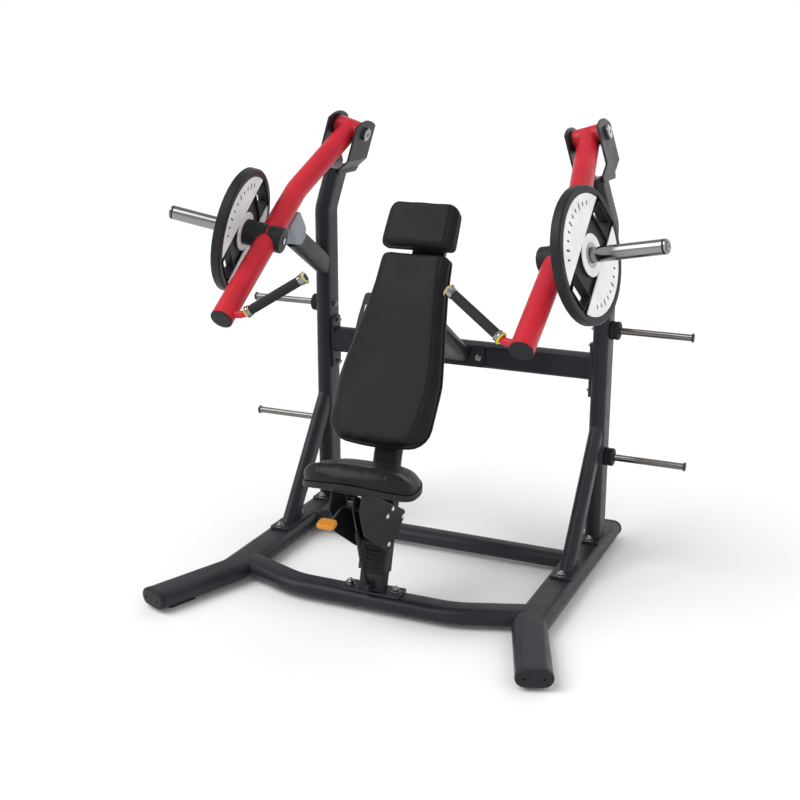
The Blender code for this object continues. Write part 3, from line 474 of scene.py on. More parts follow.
# Nodes that differ from their slot's finish.
NODE_FINISHES = {
    "gas_rod": DARK_STEEL,
    "release_lever": GAS_BLACK,
    "seat_carriage": PLATE_BLACK,
}
for SIDE, SIGN in SIDES:
    NODE_FINISHES[SIDE + "_weight_disc"] = DISC_RUBBER
    NODE_FINISHES[SIDE + "_storage_peg_upper"] = PEG_STEEL
    NODE_FINISHES[SIDE + "_storage_peg_lower"] = PEG_STEEL


def finish_nodes():
    slot_of = {s["node"]: s["material_slot"] for s in frame["record"]["subparts"]}
    for name, node in NODES.items():
        node.data.materials.clear()
        node.data.materials.append(NODE_FINISHES.get(name) or FINISHES[slot_of[name]])
        weld = node.modifiers.new("weld", "WELD")
        weld.merge_threshold = 0.00002
        round_edges(node, 0.003 if slot_of[name] == "grey_rubber" else 0.0012, angle=28)
        smooth(node, 28)
        shading = node.modifiers.new("flat_faces", "WEIGHTED_NORMAL")
        shading.keep_sharp = True


finish_nodes()


# Where things are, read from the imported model.


def principal(node):
    """A node's middle and its own directions, the thinnest first."""
    points = np.array([vert.co for vert in NODES[node].data.vertices])
    centre = points.mean(axis=0)
    rows = np.linalg.svd(points - centre, full_matrices=False)[2]
    return Vector(centre), [Vector(row) for row in rows[::-1]]


def towards(axis, direction):
    return axis if axis.dot(direction) > 0 else -axis


def sleeve_line(side):
    """Where a sleeve's axis meets its arm's, and the direction of the sleeve."""
    mount = next(m for m in frame["record"]["mounts"] if m["name"] == "weight_sleeve_" + side)
    axis = Vector(mount["axis"]).normalized()
    return Vector(mount["pos_m"]) - SLEEVE_MOUNT * axis, axis


def arm_axis(side):
    return towards(principal(side + "_arm_plug")[1][0], -Y)


# Pads: a closed form from the CAD pad's outline, filled out by a cloth simulation.


def pad_outline(node, axes):
    """The pad's (u, v) corners, its half width at any v, and its lowest and highest w."""
    points = np.array([vert.co for vert in NODES[node].data.vertices])
    u, v, w = (points @ np.array(axis) for axis in axes)
    ring = np.unique(np.round(np.column_stack((u, v)), 4), axis=0)
    around = ring - ring.mean(axis=0)
    ring = ring[np.argsort(np.arctan2(around[:, 1], around[:, 0]))]
    heights = np.unique(ring[:, 1])
    widths = np.array([ring[ring[:, 1] == height, 0].max() for height in heights])
    keep = widths > 0.02
    return ring, (heights[keep], widths[keep]), w.min(), w.max()


def distance(points, line, closed=False):
    """How far each point is from a polyline."""
    nearest = np.full(len(points), np.inf)
    ends = list(zip(line, line[1:])) + ([(line[-1], line[0])] if closed else [])
    for start, end in ends:
        start, end = np.array(start), np.array(end)
        along = end - start
        share = np.clip((points - start) @ along / max(along @ along, 1e-12), 0, 1)
        nearest = np.minimum(
            nearest, np.linalg.norm(points - start - share[:, None] * along, axis=1)
        )
    return nearest


def rolled(depth, radius):
    """How far a rounded edge has fallen at a depth in from the outline."""
    inside = np.clip(radius - depth, 0, radius)
    return radius - np.sqrt(np.maximum(radius * radius - inside * inside, 0))


def pad_form(name, ring, half_width, base, top, material):
    """A closed mesh over the outline, from the flat base up to top(u, v, edge distance)."""
    rows, columns = 90, 60
    share = (1 - np.cos(np.linspace(0, pi, rows))) / 2
    heights = half_width[0][0] + share * (half_width[0][-1] - half_width[0][0])
    widths = np.interp(heights, *half_width)
    across_share = np.sin(np.linspace(-pi / 2, pi / 2, columns))
    u = widths[:, None] * across_share[None, :]
    v = np.repeat(heights[:, None], columns, axis=1)
    flat = np.column_stack((u.ravel(), v.ravel()))
    high = top(flat[:, 0], flat[:, 1], distance(flat, ring, True))
    mesh = bmesh.new()
    upper = [mesh.verts.new((*p, h)) for p, h in zip(flat, high)]
    lower = [mesh.verts.new((*p, base)) for p in flat]
    for j in range(rows - 1):
        for i in range(columns - 1):
            a, b = j * columns + i, (j + 1) * columns + i
            mesh.faces.new((upper[a], upper[a + 1], upper[b + 1], upper[b]))
            mesh.faces.new((lower[a], lower[b], lower[b + 1], lower[a + 1]))
    rim = list(range(columns))
    rim += [j * columns + columns - 1 for j in range(1, rows)]
    rim += [(rows - 1) * columns + i for i in range(columns - 2, -1, -1)]
    rim += [j * columns for j in range(rows - 2, 0, -1)]
    for a, b in zip(rim, rim[1:] + rim[:1]):
        mesh.faces.new((upper[b], upper[a], lower[a], lower[b]))
    return new_object(name, mesh, material)


def coordinates(piece):
    points = np.empty(len(piece.data.vertices) * 3)
    piece.data.vertices.foreach_get("co", points)
    return points.reshape(-1, 3)


def set_coordinates(piece, points):
    piece.data.vertices.foreach_set("co", np.ascontiguousarray(points).ravel())
    piece.data.update()


def fill_out(piece, reach):
    """Air pressure in the cover, by cloth simulation. No point ends further off than reach."""
    start = coordinates(piece).copy()
    cloth = piece.modifiers.new("filling", "CLOTH")
    settings = cloth.settings
    settings.quality = 5
    settings.mass = 0.30
    settings.tension_stiffness = settings.compression_stiffness = 12
    settings.shear_stiffness = 6
    settings.bending_stiffness = 2.5
    settings.use_pressure = True
    settings.uniform_pressure_force = 4
    settings.effector_weights.gravity = 0
    cloth.point_cache.frame_start = 1
    cloth.point_cache.frame_end = SIMULATED_FRAMES
    scene = bpy.context.scene
    for number in range(1, SIMULATED_FRAMES + 1):
        scene.frame_set(number)
        bpy.context.view_layer.update()
    baked(piece)
    scene.frame_set(1)
    move = coordinates(piece) - start
    length = np.linalg.norm(move, axis=1, keepdims=True)
    set_coordinates(piece, start + move * (reach * np.tanh(length / reach) / (length + 1e-9)))


def unbent(u):
    return np.zeros(len(u))


def sewn_pad(
    name,
    node,
    axes,
    top,
    seams,
    bend=unbent,
    reach=0.006,
    board=PAD_BOARD,
    plan=None,
    cover=LEATHER,
):
    """A finished pad in place of a CAD one. Seams are (u, v) lines sunk into its front.

    The plan is an outline and half widths to use instead of the CAD pad's.
    """
    ring, half_width, low, high = pad_outline(node, axes)
    ring, half_width = plan or (ring, half_width)
    centre = ring.mean(axis=0)
    shrink = 1 - SLACK / np.abs(ring - centre).max(axis=0)
    ring = centre + (ring - centre) * shrink
    heights, widths = half_width
    half_width = (centre[1] + (heights - centre[1]) * shrink[1], widths * shrink[0])
    base = low + board

    def upper(u, v, edge):
        return top(u, v, edge, high - SLACK)

    piece = pad_form(name, ring, half_width, base, upper, cover)
    remesh = piece.modifiers.new("even_mesh", "REMESH")
    remesh.mode = "VOXEL"
    remesh.voxel_size = VOXEL
    baked(piece)
    fill_out(piece, reach)
    settle = piece.modifiers.new("settle", "SMOOTH")
    settle.iterations = SMOOTHING_ROUNDS
    finer = piece.modifiers.new("finer", "SUBSURF")
    finer.levels = finer.render_levels = 1
    baked(piece)
    points = coordinates(piece)
    points[:, 2] = np.maximum(points[:, 2], base)
    middle_height = (base + high) / 2 - 0.008
    for line in seams:
        near = distance(points[:, :2], line)
        sunk = SEAM_DEPTH * np.exp(-((near / SEAM_WIDTH) ** 2))
        points[:, 2] -= np.where(points[:, 2] > middle_height, sunk, 0)
    edge = distance(points[:, :2], ring, True)
    band = np.exp(-(((points[:, 2] - base - BAND_HEIGHT) / SEAM_WIDTH) ** 2))
    inward = centre - points[:, :2]
    inward /= np.linalg.norm(inward, axis=1, keepdims=True)
    points[:, :2] += inward * (np.where(edge < 0.012, band, 0) * SEAM_DEPTH)[:, None]
    points[:, 2] += bend(points[:, 0])
    set_coordinates(piece, points @ np.array(axes))
    piece.data.shade_smooth()
    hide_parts(node)
    return piece, ring, base


def backing_board(
    name, ring, axes, base, body, bend=unbent, inset=0.004, grow=0.0, thickness=PAD_BOARD
):
    """The moulded board under a pad, inset from the cover's outline."""
    centre = ring.mean(axis=0)
    size = np.abs(ring - centre).max(axis=0)
    outline = centre + (ring - centre) * (1 - inset / size)
    mesh = bmesh.new()
    rings = []
    layers = ((1.0, base + grow), (1.0, base - thickness + 0.002), (0.985, base - thickness))
    for shrink, height in layers:
        corners = centre + (outline - centre) * shrink
        places = np.column_stack((corners, height + bend(corners[:, 0]))) @ np.array(axes)
        rings.append([mesh.verts.new(p) for p in places])
    for first, second in zip(rings, rings[1:]):
        for i in range(len(first)):
            mesh.faces.new((first[i - 1], first[i], second[i], second[i - 1]))
    mesh.faces.new(rings[0])
    mesh.faces.new(reversed(rings[-1]))
    board = new_object(name, mesh, BLACK_PLASTIC)
    round_edges(board, 0.001)
    return finish_piece(board, body)


def pad_axes(node):
    out = towards(principal(node)[1][0], -Y)
    return X, out.cross(X), out


def back_and_head_pads():
    axes = pad_axes("back_pad")
    low = min(v.co.dot(axes[1]) for v in NODES["back_pad"].data.vertices)
    seam_height = low + np.array([0.0, 0.08, 0.20, 0.30, 0.45, 0.56, BACK_LENGTH])
    seam_across = np.array([0.122, 0.143, 0.155, 0.151, 0.127, 0.111, 0.099])
    side_across = (0.190, 0.196, 0.198, 0.192, 0.160, 0.143, 0.131)

    def back_top(u, v, edge, high):
        seam = np.interp(v, seam_height, seam_across)
        outer = np.interp(v, seam_height, side_across)
        fall = np.clip((np.abs(u) - seam) / (outer - seam), 0, 1)
        share = (v - low) / BACK_LENGTH
        radius = 0.007 + 0.014 * np.clip(1 - share / 0.12, 0, 1)
        drop = 0.027 - 0.010 * share
        crown = 0.003 * (1 - (u / 0.19) ** 2)
        return high - 0.003 + crown - fall * drop - rolled(edge, radius)

    def both_seams(heights, reaches):
        return [[(sign * u, v) for u, v in zip(reaches, heights)] for sign in (1, -1)]

    smooth_heights = np.linspace(seam_height[0], seam_height[-1], 30)
    smooth_across = np.interp(smooth_heights, seam_height, seam_across)
    seams = both_seams(smooth_heights, smooth_across)
    piece, ring, base = sewn_pad("back_cushion", "back_pad", axes, back_top, seams)
    finish_piece(piece, "frame")
    backing_board("back_cushion_board", ring, axes, base, "frame")

    head_low = min(v.co.dot(axes[1]) for v in NODES["head_pad"].data.vertices)
    head_heights = head_low + np.array([0.0, 0.170])
    head_across = np.array([0.111, 0.104])

    def head_top(u, v, edge, high):
        seam = np.interp(v, head_heights, head_across)
        fall = np.clip((np.abs(u) - seam) / 0.030, 0, 1)
        crown = 0.004 * (1 - (u / 0.13) ** 2)
        lower = np.clip(1 - (v - head_low) / 0.03, 0, 1)
        return high - 0.004 + crown - fall * 0.018 - rolled(edge, 0.009 + 0.012 * lower)

    seams = both_seams(np.linspace(*head_heights, 12), np.linspace(*head_across, 12))
    piece, ring, base = sewn_pad(
        "head_cushion", "head_pad", axes, head_top, seams, reach=0.0025
    )
    finish_piece(piece, "frame")
    backing_board("head_cushion_board", ring, axes, base, "frame")


def seat_plan(half, low, high):
    """The seat from above, with its corners rounded off, as an outline and half widths."""
    widest = low + SEAT_WIDEST
    ring = []
    for angle in np.linspace(0, 2 * pi, 80, False):
        reach, power = (high - widest, 3.0) if sin(angle) > 0 else (SEAT_WIDEST, 2.3)
        u = half * np.sign(cos(angle)) * abs(cos(angle)) ** (2 / power)
        ring.append((u, widest + reach * np.sign(sin(angle)) * abs(sin(angle)) ** (2 / power)))
    ring = np.array(ring)
    right = ring[ring[:, 0] > 0.030]
    right = right[np.argsort(right[:, 1])]
    return ring, (right[:, 1], right[:, 0])


def seat_cushion():
    low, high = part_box("seat_pad")
    half = (high.x - low.x) / 2
    axes = (X, Y, Z)

    def bend(u):
        return -SEAT_DROOP * (u / half) ** 2

    # The pad is measured flat, and sewn_pad bends the finished cushion.
    pad = NODES["seat_pad"]
    drooped, flat = pad.data, pad.data.copy()
    for vert in flat.vertices:
        vert.co.z += SEAT_DROOP * (vert.co.x / half) ** 2
    pad.data = flat
    seam_y = np.linspace(low.y, high.y, 24)
    share = (seam_y - low.y) / (high.y - low.y)
    seam_x = 0.124 - 0.016 * np.sin(pi * share)

    def top(u, v, edge, crest):
        front = np.clip(1 - (v - low.y) / 0.09, 0, 1)
        rear = np.clip((v - low.y - 0.055) / (high.y - low.y - 0.055), 0, 1)
        hollow = 0.005 * np.exp(-((u / 0.10) ** 2)) * np.clip((v - low.y - 0.06) / 0.07, 0, 1)
        ridge = 0.013 * np.exp(-(((v - low.y - 0.050) / 0.030) ** 2))
        side = 0.008 * (u / half) ** 2
        fall = 0.026 * rear**1.3
        return crest + ridge + side - hollow - fall - rolled(edge, 0.030 + 0.008 * front)

    seams = [list(zip(sign * seam_x, seam_y)) for sign in (1, -1)]
    front_u = np.linspace(-0.118, 0.118, 20)
    seams.append(list(zip(front_u, low.y + 0.046 + 0.030 * (front_u / 0.13) ** 2)))
    plan = seat_plan(half, low.y, high.y)
    piece, ring, base = sewn_pad(
        "seat_cushion", "seat_pad", axes, top, seams, bend, 0.003, SEAT_BOARD, plan, SEAT_LEATHER
    )
    pad.data = drooped
    bpy.data.meshes.remove(flat)
    finish_piece(piece, "seat")
    backing_board(
        "seat_cushion_base", ring, axes, base, "seat", bend, -0.0015, 0.005, SEAT_BOARD
    )


# Discs.


def disc_dressing(side):
    """White fields, marks, window linings and a steel ring in the bore."""
    boss, axis = sleeve_line(side)
    origin = boss + axis * (principal(side + "_weight_disc")[0] - boss).dot(axis)
    rearwards = towards(axis.cross(Z).normalized(), Y)
    upwards = towards(rearwards.cross(axis).normalized(), Z)
    turn = radians(BAND_ANGLE)
    along = rearwards * cos(turn) + upwards * sin(turn)
    sideways = axis.cross(along)
    for face, sign in (("front", 1), ("rear", -1)):
        disc_field(side, face, sign, origin, axis, sideways, along)
        disc_marks(side, face, sign, origin, axis, sideways, along)
    bore_ring(side, origin, axis)
    for end, tag in ((1, "upper"), (-1, "lower")):
        window_lining(f"{side}_disc_window_{tag}", side, end, origin, sideways, along)


def disc_field(side, face, sign, origin, axis, sideways, along):
    """A white face, cut away for the bore and for the band on either side of the hub."""

    def cutter(name, radius):
        profile = [(0, -0.2), (radius, -0.2), (radius, 0.2), (0, 0.2)]
        return turned(name, profile, origin, axis, DISC_WHITE)

    near, far = sorted(sign * h for h in (HALF_DISC - WEB + 0.0001, HALF_DISC - 0.0007))
    angles = np.linspace(0, 2 * pi, 96, False)
    outline = [(FIELD_RADIUS * cos(a), FIELD_RADIUS * sin(a)) for a in angles]
    name = side + "_disc_field_" + face
    field = prism(name, outline, origin, sideways, along, near, far, DISC_WHITE)
    for end in (1, -1):
        tip = 0.25 * end
        corners = [(-BAND_HALF, 0.0), (BAND_HALF, 0.0), (BAND_HALF, tip), (-BAND_HALF, tip)]
        band = prism("band", corners[::end], origin, sideways, along, -0.1, 0.1, DISC_WHITE)
        combine(band, cutter("hub", BAND_HALF), "DIFFERENCE")
        combine(field, band, "DIFFERENCE")
    combine(field, cutter("bore", BORE_CLEAR), "DIFFERENCE")
    round_edges(field, 0.0007)
    finish_piece(smooth(field), side + "_disc")


def disc_marks(side, face, sign, origin, axis, sideways, along):
    """Raised oval marks round both halves of a face."""
    marks = bmesh.new()
    top = origin + axis * sign * (HALF_DISC - 0.0007)
    for half in (0, pi):
        for i in range(MARKS):
            angle = half + radians(MARK_SPAN * (2 * i / (MARKS - 1) - 1))
            radial = sideways * cos(angle) + along * sin(angle)
            place = Matrix.Translation(top + radial * MARK_RADIUS)
            turn_to = Matrix((radial, axis.cross(radial), axis)).transposed().to_4x4()
            size = Matrix.Diagonal((MARK_LENGTHS[i % 3 != 1], 0.0038, 0.0007)).to_4x4()
            bmesh.ops.create_uvsphere(
                marks, u_segments=12, v_segments=8, radius=1.0, matrix=place @ turn_to @ size
            )
    piece = new_object(side + "_disc_marks_" + face, marks, MARK_DARK)
    finish_piece(smooth(piece), side + "_disc")


def bore_ring(side, origin, axis):
    face = HALF_DISC + 0.0018
    half = [(0.0262, face), (0.0340, face), (0.0362, face - 0.0016), (0.0398, face - 0.0016)]
    ring = [(radius, -height) for radius, height in half] + half[::-1]
    steel = turned(side + "_disc_bore_ring", ring, origin, axis, ZINC, 64)
    round_edges(steel, 0.0004)
    finish_piece(smooth(steel), side + "_disc")


def window_lining(name, side, end, origin, sideways, along):
    """A raised lip in one of the disc's two windows, which narrow towards the rim."""

    def outline(inset):
        near, far = WINDOW_REACH[0] + inset, WINDOW_REACH[1] - inset
        wide, narrow = (half - inset for half in WINDOW_HALVES)
        corners = [(-wide, near), (wide, near), (narrow, far), (-narrow, far)]
        return [(u, v * end) for u, v in corners][::end]

    depth = WINDOW_DEPTH
    outside, inside = (outline(inset) for inset in WINDOW_LINING)
    lining = prism(name, outside, origin, sideways, along, -depth, depth, DISC_RUBBER)
    hole = prism("hole", inside, origin, sideways, along, -0.1, 0.1, DISC_RUBBER)
    combine(lining, hole, "DIFFERENCE")
    round_edges(lining, 0.0008)
    finish_piece(smooth(lining), side + "_disc")


# Arms.


def boss_cover(side):
    """Two black shells on the arm's boss, with a slit of paint between them."""
    boss, axis = sleeve_line(side)
    inner, outer = 0.04415, 0.0462
    shell = [(inner, -0.0524), (inner, 0.0876), (outer - 0.0015, 0.0876), (outer, 0.0861)]
    shell += [(outer, -0.0525), (outer - 0.0035, -0.0560), (0.0128, -0.0560), (0.0128, -0.0524)]
    cover = turned(side + "_boss_cover", shell, boss, axis, BLACK_PLASTIC, 72)
    arm = arm_axis(side)
    profile = [(0, -0.2), (ARM_RADIUS, -0.2), (ARM_RADIUS, 0.2), (0, 0.2)]
    combine(cover, turned("tube", profile, boss, arm, BLACK_PLASTIC, 72), "DIFFERENCE")
    outwards = arm.cross(axis).normalized()
    square = rounded_box(0.3, 0.3, 0.01)
    slit = prism("slit", square, boss, arm, outwards, -0.0028, 0.0028, BLACK_PLASTIC)
    combine(cover, slit, "DIFFERENCE")
    round_edges(cover, 0.0007)
    finish_piece(smooth(cover), side + "_arm")


def grip_dressing(side):
    """The grip's collar, rings, rubber sleeve and flared end."""
    centre, axes = principal(side + "_hand_grip")
    cap_centre = principal(side + "_grip_end_cap")[0]
    axis = towards(axes[2], cap_centre - centre)
    half = max((v.co - centre).dot(axis) for v in NODES[side + "_hand_grip"].data.vertices)
    start = centre - axis * half
    end = centre + axis * half
    body = side + "_arm"
    collar = [(0.0194, -0.0125), (0.0210, -0.0125), (0.0218, -0.0105), (0.0196, -0.0070)]
    collar += [(0.0196, -0.0020), (0.0204, 0.0), (0.0204, 0.0035), (0.0166, 0.0035)]
    collar += [(0.0166, 0.0002), (0.0194, 0.0002)]
    piece = turned(side + "_grip_collar", collar, start, axis, CHROME)
    finish_piece(smooth(round_edges(piece, 0.0003)), body)
    ring = [(0.0136, -0.0165), (0.0206, -0.0165), (0.0216, -0.0155), (0.0216, -0.0135)]
    ring += [(0.0206, -0.0127), (0.0136, -0.0127)]
    piece = turned(side + "_grip_ring", ring, start, axis, YELLOW)
    finish_piece(smooth(piece), body)
    cap = [(0.0217, 0.0185), (0.0231, 0.0190), (0.0231, 0.0215), (0.0217, 0.0220)]
    piece = turned(side + "_grip_end_ring", cap, end, axis, YELLOW)
    finish_piece(smooth(piece), body)
    sleeve = [(0.0168, -0.004), (0.0180, -0.0035), (0.0184, 0.002), (0.0196, 0.0125)]
    sleeve += [(0.0224, 0.0185), (0.0217, 0.0185), (0.0187, 0.0125), (0.0168, 0.0005)]
    piece = turned(side + "_grip_flare", sleeve, end, axis, CHROME)
    finish_piece(smooth(piece), body)
    button = [(0, 0.0246), (0.0120, 0.0246), (0.0130, 0.0256), (0.0110, 0.0266), (0, 0.0270)]
    piece = turned(side + "_grip_button", button, end, axis, BLACK_PLASTIC)
    finish_piece(smooth(piece), body)
    low, high, steps = 0.004, 2 * half - 0.004, 63
    profile = [(0.01605, low)]
    for i in range(steps + 1):
        raised = 0.0007 if 2 < i < 61 else 0.0
        ripple = 0.0003 * (-1) ** i
        profile.append((0.01615 + raised + ripple, low + (high - low) * i / steps))
    profile.append((0.01605, high))
    rubber = ribbed_rubber(side + "_grip_look", (0.016, 0.016, 0.017), axis)
    piece = turned(side + "_grip_sleeve", profile, start, axis, rubber)
    finish_piece(smooth(piece, 60), body)


def sleeve_end(side):
    """The sleeve's end: a spring ring in the CAD's groove and a plug in the tube's mouth."""
    boss, axis = sleeve_line(side)
    reach = max((v.co - boss).dot(axis) for v in NODES[side + "_weight_sleeve"].data.vertices)
    tip = boss + axis * reach
    body = side + "_arm"
    ring = [(0.0226, -0.0132), (0.0243, -0.0128), (0.0243, -0.0092), (0.0226, -0.0088)]
    piece = turned(side + "_sleeve_ring", ring, tip, axis, SOFT_RUBBER)
    finish_piece(smooth(piece), body)
    plug = [(0, 0.0003), (0.0150, 0.0003), (0.0175, 0.0012), (0.0165, 0.0026), (0.0060, 0.0036)]
    plug += [(0.0052, 0.0012), (0, 0.0012)]
    piece = turned(side + "_sleeve_plug", plug, tip, axis, CHROME)
    finish_piece(smooth(piece), body)


# Fasteners.


def fastener(name, point, axis, size):
    """A washer, a nut with chamfered corners, and the rounded end of the bolt through it."""
    washer_radius, nut_radius, stud = size * 0.98, size * 0.90, size * 0.46
    rim, high = 0.0028, size * 0.82
    washer = [(0, 0.0002), (washer_radius, 0.0002), (washer_radius, rim), (0, rim)]
    piece = turned(name + "_washer", washer, point, axis, ZINC, 40)
    finish_piece(smooth(round_edges(piece, 0.0005)), "frame")
    nut = [(0, rim), (nut_radius * 0.93, rim), (nut_radius, rim + 0.0012)]
    nut += [(nut_radius, high - 0.0012), (nut_radius * 0.90, high), (0, high)]
    piece = turned(name + "_nut", nut, point, axis, CHROME, 6)
    finish_piece(smooth(round_edges(piece, 0.0006), 20), "frame")
    shoulder = high + size * 0.22
    dome = [(0, high - 0.001), (stud, high - 0.001), (stud, shoulder)]
    dome += [(stud * cos(a), shoulder + stud * 0.75 * sin(a)) for a in (0.5, 0.9, 1.25)]
    dome += [(0, shoulder + stud * 0.75)]
    piece = turned(name + "_dome", dome, point, axis, CHROME, 32)
    finish_piece(smooth(piece, 50), "frame")


def fasteners():
    """The frame's washers, nuts and bolt ends. All but the pegs' cover a CAD bolt head."""
    beam_low, beam_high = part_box("mid_crossbeam")
    beam_y = middle("mid_crossbeam").y
    for side, sign in SIDES:
        x = middle(side + "_rear_foot").x
        inwards = -sign * X
        plate_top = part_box(side + "_upright")[0].z + PLATE - TOUCH
        upright_y = middle(side + "_storage_peg_upper").y
        for tag, y in (("front", upright_y - 0.075), ("rear", upright_y + 0.085)):
            point = Vector((x, y, plate_top))
            fastener(f"{side}_upright_bolt_{tag}", point, Z, FRAME_BOLT)
        brace_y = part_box(side + "_brace")[0].y
        for tag, y in (("front", brace_y + 0.015), ("rear", brace_y + 0.175)):
            fastener(f"{side}_brace_bolt_{tag}", Vector((x, y, plate_top)), Z, FRAME_BOLT)
        end_plate = sign * (beam_high.x - 0.010)
        for tag, z in (("upper", beam_high.z - 0.0155), ("lower", beam_low.z + 0.0175)):
            point = Vector((end_plate, beam_y + 0.008, z))
            fastener(f"{side}_beam_bolt_{tag}", point, inwards, SMALL_BOLT)
        for tag in ("upper", "lower"):
            peg = middle(f"{side}_storage_peg_{tag}")
            point = Vector((sign * (abs(x) - TUBE_HALF), peg.y, peg.z))
            fastener(f"{side}_peg_bolt_{tag}", point, inwards, SMALL_BOLT)
    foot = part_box("seat_column")[0]
    for side, sign in SIDES:
        point = Vector((sign * 0.086, foot.y + 0.0674, foot.z + PLATE - TOUCH))
        fastener(side + "_column_bolt", point, Z, FRAME_BOLT)
        point = Vector((sign * 0.094, beam_y - TUBE_HALF - TOUCH - PLATE, 0.735))
        fastener(side + "_support_bolt", point, -Y, SMALL_BOLT)


def peg_dressing(side, sign):
    """A rubber collar over each storage peg's foot and a cap round its tip."""
    for tag in ("upper", "lower"):
        low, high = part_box(f"{side}_storage_peg_{tag}")
        centre = (low + high) / 2
        foot_x, tip_x = (low.x, high.x)[::sign]
        foot = Vector((foot_x, centre.y, centre.z))
        tip = Vector((tip_x, centre.y, centre.z))
        collar = [(0.0302, 0.0005), (0.0335, 0.0005), (0.0345, 0.0040), (0.0345, 0.0085)]
        collar += [(0.0325, 0.0105), (0.0325, 0.0165), (0.0340, 0.0185), (0.0330, 0.0285)]
        collar += [(0.0290, 0.0310), (0.0128, 0.0310), (0.0128, 0.0284), (0.0302, 0.0284)]
        piece = turned(f"{side}_peg_collar_{tag}", collar, foot, sign * X, SOFT_RUBBER)
        finish_piece(smooth(round_edges(piece, 0.0008)), "frame")
        cap = [(0.0157, -0.0060), (0.0168, -0.0052), (0.0168, -0.0014), (0.0140, 0.0012)]
        cap += [(0, 0.0016), (0, 0.0002), (0.0130, 0.0002), (0.0157, -0.0012)]
        piece = turned(f"{side}_peg_cap_{tag}", cap, tip, sign * X, GAS_BLACK)
        finish_piece(smooth(piece), "frame")


def pivot_line(side):
    joint = JOINTS[side + "_arm_pivot"]
    axis = towards(Vector(joint["axis"]).normalized(), X if side == "right" else -X)
    return Vector(joint["pos_m"]), axis


def upright_cap(side):
    """The plastic lid on the upright's cut top, between the two pivot plates."""
    pivot, axis = pivot_line(side)
    lean = towards(axis.cross(Y), Z)
    upright_y = middle(side + "_storage_peg_upper").y
    origin = Vector((pivot.x, upright_y, pivot.z)) - lean * LID_DROP
    rim = rounded_box(0.0585, 0.1185, 0.0290, 8)
    name = side + "_upright_lid"
    lid = prism(name, rim, origin, axis, lean.cross(axis), TOUCH, 0.0050, BUMPER_GREY)
    round_edges(lid, 0.0018, 3)
    finish_piece(smooth(lid), "frame")


# Seat mechanism.


def column_axes():
    """The rack's middle and the seat column's directions, from the rack fixed to its front."""
    forward = towards(principal("height_rack")[1][0], -Y)
    return middle("height_rack"), forward.cross(X), forward


def carriage_face():
    """How far out the outer face of each carriage plate is."""
    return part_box("seat_carriage")[1].x - CARRIAGE_STEEL


def carriage_bolts():
    """Domed heads on the carriage plates, over the rollers' bolts and the lever's shaft."""
    centre, up, forward = column_axes()
    face = carriage_face()
    spots = {"upper": (0.0192, 0.0718), "lower": (0.0192, -0.0502), "rear": (-0.0798, 0.0388)}
    places = {name: centre + forward * w + up * v for name, (w, v) in spots.items()}
    places["lever"] = Vector(JOINTS["lever_pull"]["pos_m"])
    for name, place in places.items():
        for side, sign in SIDES:
            point = Vector((sign * face, place.y, place.z))
            profile = [(0, 0.0002), (0.0078, 0.0002), (0.0084, 0.0012), (0.0084, 0.0030)]
            profile += [(0.0074, 0.0056), (0.0052, 0.0074), (0.0026, 0.0083), (0, 0.0086)]
            piece = turned(f"{side}_carriage_bolt_{name}", profile, point, sign * X, BOLT, 32)
            finish_piece(smooth(piece), "seat")


def rack_channel():
    """Folded steel round the column's front corners, and a plate across it under the rack."""
    centre, up, forward = column_axes()
    above, below = 0.204, 0.152  # the channel's reach along the column from the rack's middle
    corner = [(0.0412, 0.0010), (0.0516, 0.0010), (0.0516, -0.0480), (0.0502, -0.0480)]
    corner += [(0.0502, -0.0022), (0.0412, -0.0022)]
    for side, sign in SIDES:
        outline = [(sign * u, w) for u, w in corner]
        name = side + "_rack_channel"
        # It is drawn out along X x forward, which points down the column.
        piece = prism(name, outline, centre, X, forward, -above, below, RACK_BLACK)
        round_edges(piece, 0.0005)
        finish_piece(smooth(piece), "frame")
    half, foot, top = 0.0405, -0.204, -0.1615
    outline = [(-half, foot), (half, foot), (half, top), (-half, top)]
    piece = prism("rack_foot_plate", outline, centre, X, up, -0.0020, 0.0018, RACK_BLACK)
    round_edges(piece, 0.0005)
    finish_piece(smooth(piece), "frame")


def release_lever():
    """The bent rod between the carriage plates and the orange finger plate at its end."""
    pivot = Vector(JOINTS["lever_pull"]["pos_m"])
    half = carriage_face() + 0.004
    shaft = [(0, -half), (0.0050, -half), (0.0055, 0.0005 - half), (0.0055, half - 0.0005)]
    shaft += [(0.0050, half), (0, half)]
    piece = turned("lever_shaft", shaft, pivot, X, GAS_BLACK, 24)
    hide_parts("release_lever")
    finish_piece(smooth(piece), "release_lever")
    corners = [Vector(place) for place in LEVER_PATH]
    path = [pivot + corners[0]]
    for before, corner, after in zip(corners, corners[1:], corners[2:]):
        for share in np.linspace(0, 1, 9):
            start = corner + (before - corner).normalized() * LEVER_BEND
            end = corner + (after - corner).normalized() * LEVER_BEND
            path.append(pivot + start.lerp(corner, share).lerp(corner.lerp(end, share), share))
    path.append(pivot + corners[-1])
    piece = wire("lever_rod", path, LEVER_ROD, GAS_BLACK)
    finish_piece(piece, "release_lever")
    centre = pivot + Vector(PADDLE_AT)
    tilt = Matrix.Rotation(radians(PADDLE_TILT), 3, "X")
    outline = rounded_box(0.062, 0.046, 0.014, 8)
    piece = prism("lever_paddle", outline, centre, tilt @ X, tilt @ Y, -0.0085, 0.0085, ORANGE)
    round_edges(piece, 0.0048, 5)
    finish_piece(smooth(piece, 50), "release_lever")
    outline = rounded_box(0.042, 0.028, 0.009, 6)
    piece = prism("lever_paddle_pad", outline, centre, tilt @ X, tilt @ Y, 0.0078, 0.0097, ORANGE)
    round_edges(piece, 0.0009)
    finish_piece(smooth(piece), "release_lever")


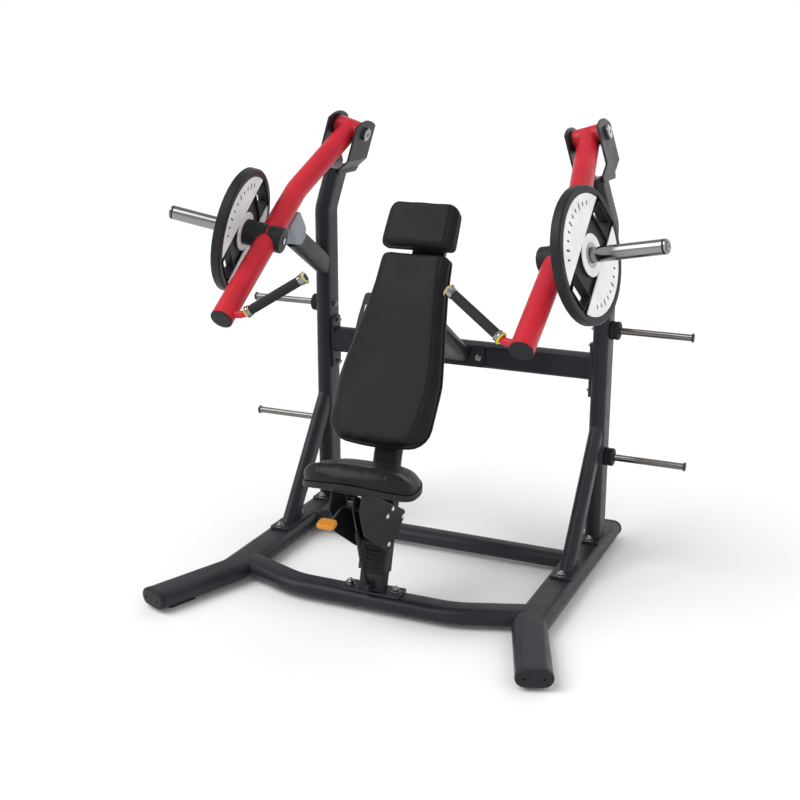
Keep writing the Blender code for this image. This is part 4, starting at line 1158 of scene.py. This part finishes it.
back_and_head_pads()
seat_cushion()
for SIDE, SIGN in SIDES:
    disc_dressing(SIDE)
    boss_cover(SIDE)
    grip_dressing(SIDE)
    sleeve_end(SIDE)
    peg_dressing(SIDE, SIGN)
    upright_cap(SIDE)
fasteners()
carriage_bolts()
rack_channel()
release_lever()


# Camera, light and floor.


def set_camera():
    """A camera fitted to the photo."""
    back = Vector((0.39047, -0.87586, 0.28354)).normalized()
    right = Vector((0.91331, 0.40726, 0.00028)).normalized()
    up = back.cross(right)
    place = Vector((1.7412, -3.9934, 1.9606))
    data = bpy.data.cameras.new("camera")
    data.sensor_width = 36
    data.lens = 57.72
    camera = bpy.data.objects.new("camera", data)
    turn = Matrix((right, up, back)).transposed().to_4x4()
    camera.matrix_world = Matrix.Translation(place) @ turn
    bpy.context.scene.collection.objects.link(camera)
    bpy.context.scene.camera = camera


def soft_sun(name, direction, spread, power):
    """Light from one side, as from a very large lamp far away."""
    data = bpy.data.lights.new(name, "SUN")
    data.energy = power
    data.angle = radians(spread)
    lamp = bpy.data.objects.new(name, data)
    lamp.rotation_euler = Vector(direction).to_track_quat("Z", "Y").to_euler()
    bpy.context.scene.collection.objects.link(lamp)


def set_world():
    """A white room: bright at eye level and dimmer overhead."""
    world = bpy.data.worlds.new("studio")
    bpy.context.scene.world = world
    world.use_nodes = True
    tree = world.node_tree
    direction = tree.nodes.new("ShaderNodeTexCoord").outputs["Generated"]
    split = tree.nodes.new("ShaderNodeSeparateXYZ")
    tree.links.new(direction, split.inputs["Vector"])
    level = remap(tree, split.outputs["Z"], 0.02, 0.45, 1.0, 0.46)
    background = tree.nodes["Background"]
    background.inputs["Color"].default_value = (1.0, 1.0, 1.0, 1)
    tree.links.new(level, background.inputs["Strength"])


def set_studio():
    set_world()
    soft_sun("key", (-0.55, -0.45, 0.85), 50, 2.0)
    soft_sun("fill", (0.75, -0.35, 0.60), 60, 0.55)
    soft_sun("back", (0.20, 0.85, 0.55), 60, 0.55)
    floor_look, tree, shader, place = shader_tree("floor_look", (0.93, 0.93, 0.933), 0.60)
    mottle = remap(tree, noise(tree, place, 1.3), 0.3, 0.7, 0.55, 0.65)
    tree.links.new(mottle, shader.inputs["Roughness"])
    mesh = bmesh.new()
    bmesh.ops.create_circle(mesh, cap_ends=True, segments=96, radius=FLOOR_RADIUS)
    floor = new_object("floor", mesh, floor_look)
    bpy.context.scene.view_settings.view_transform = "Standard"


set_camera()
set_studio()
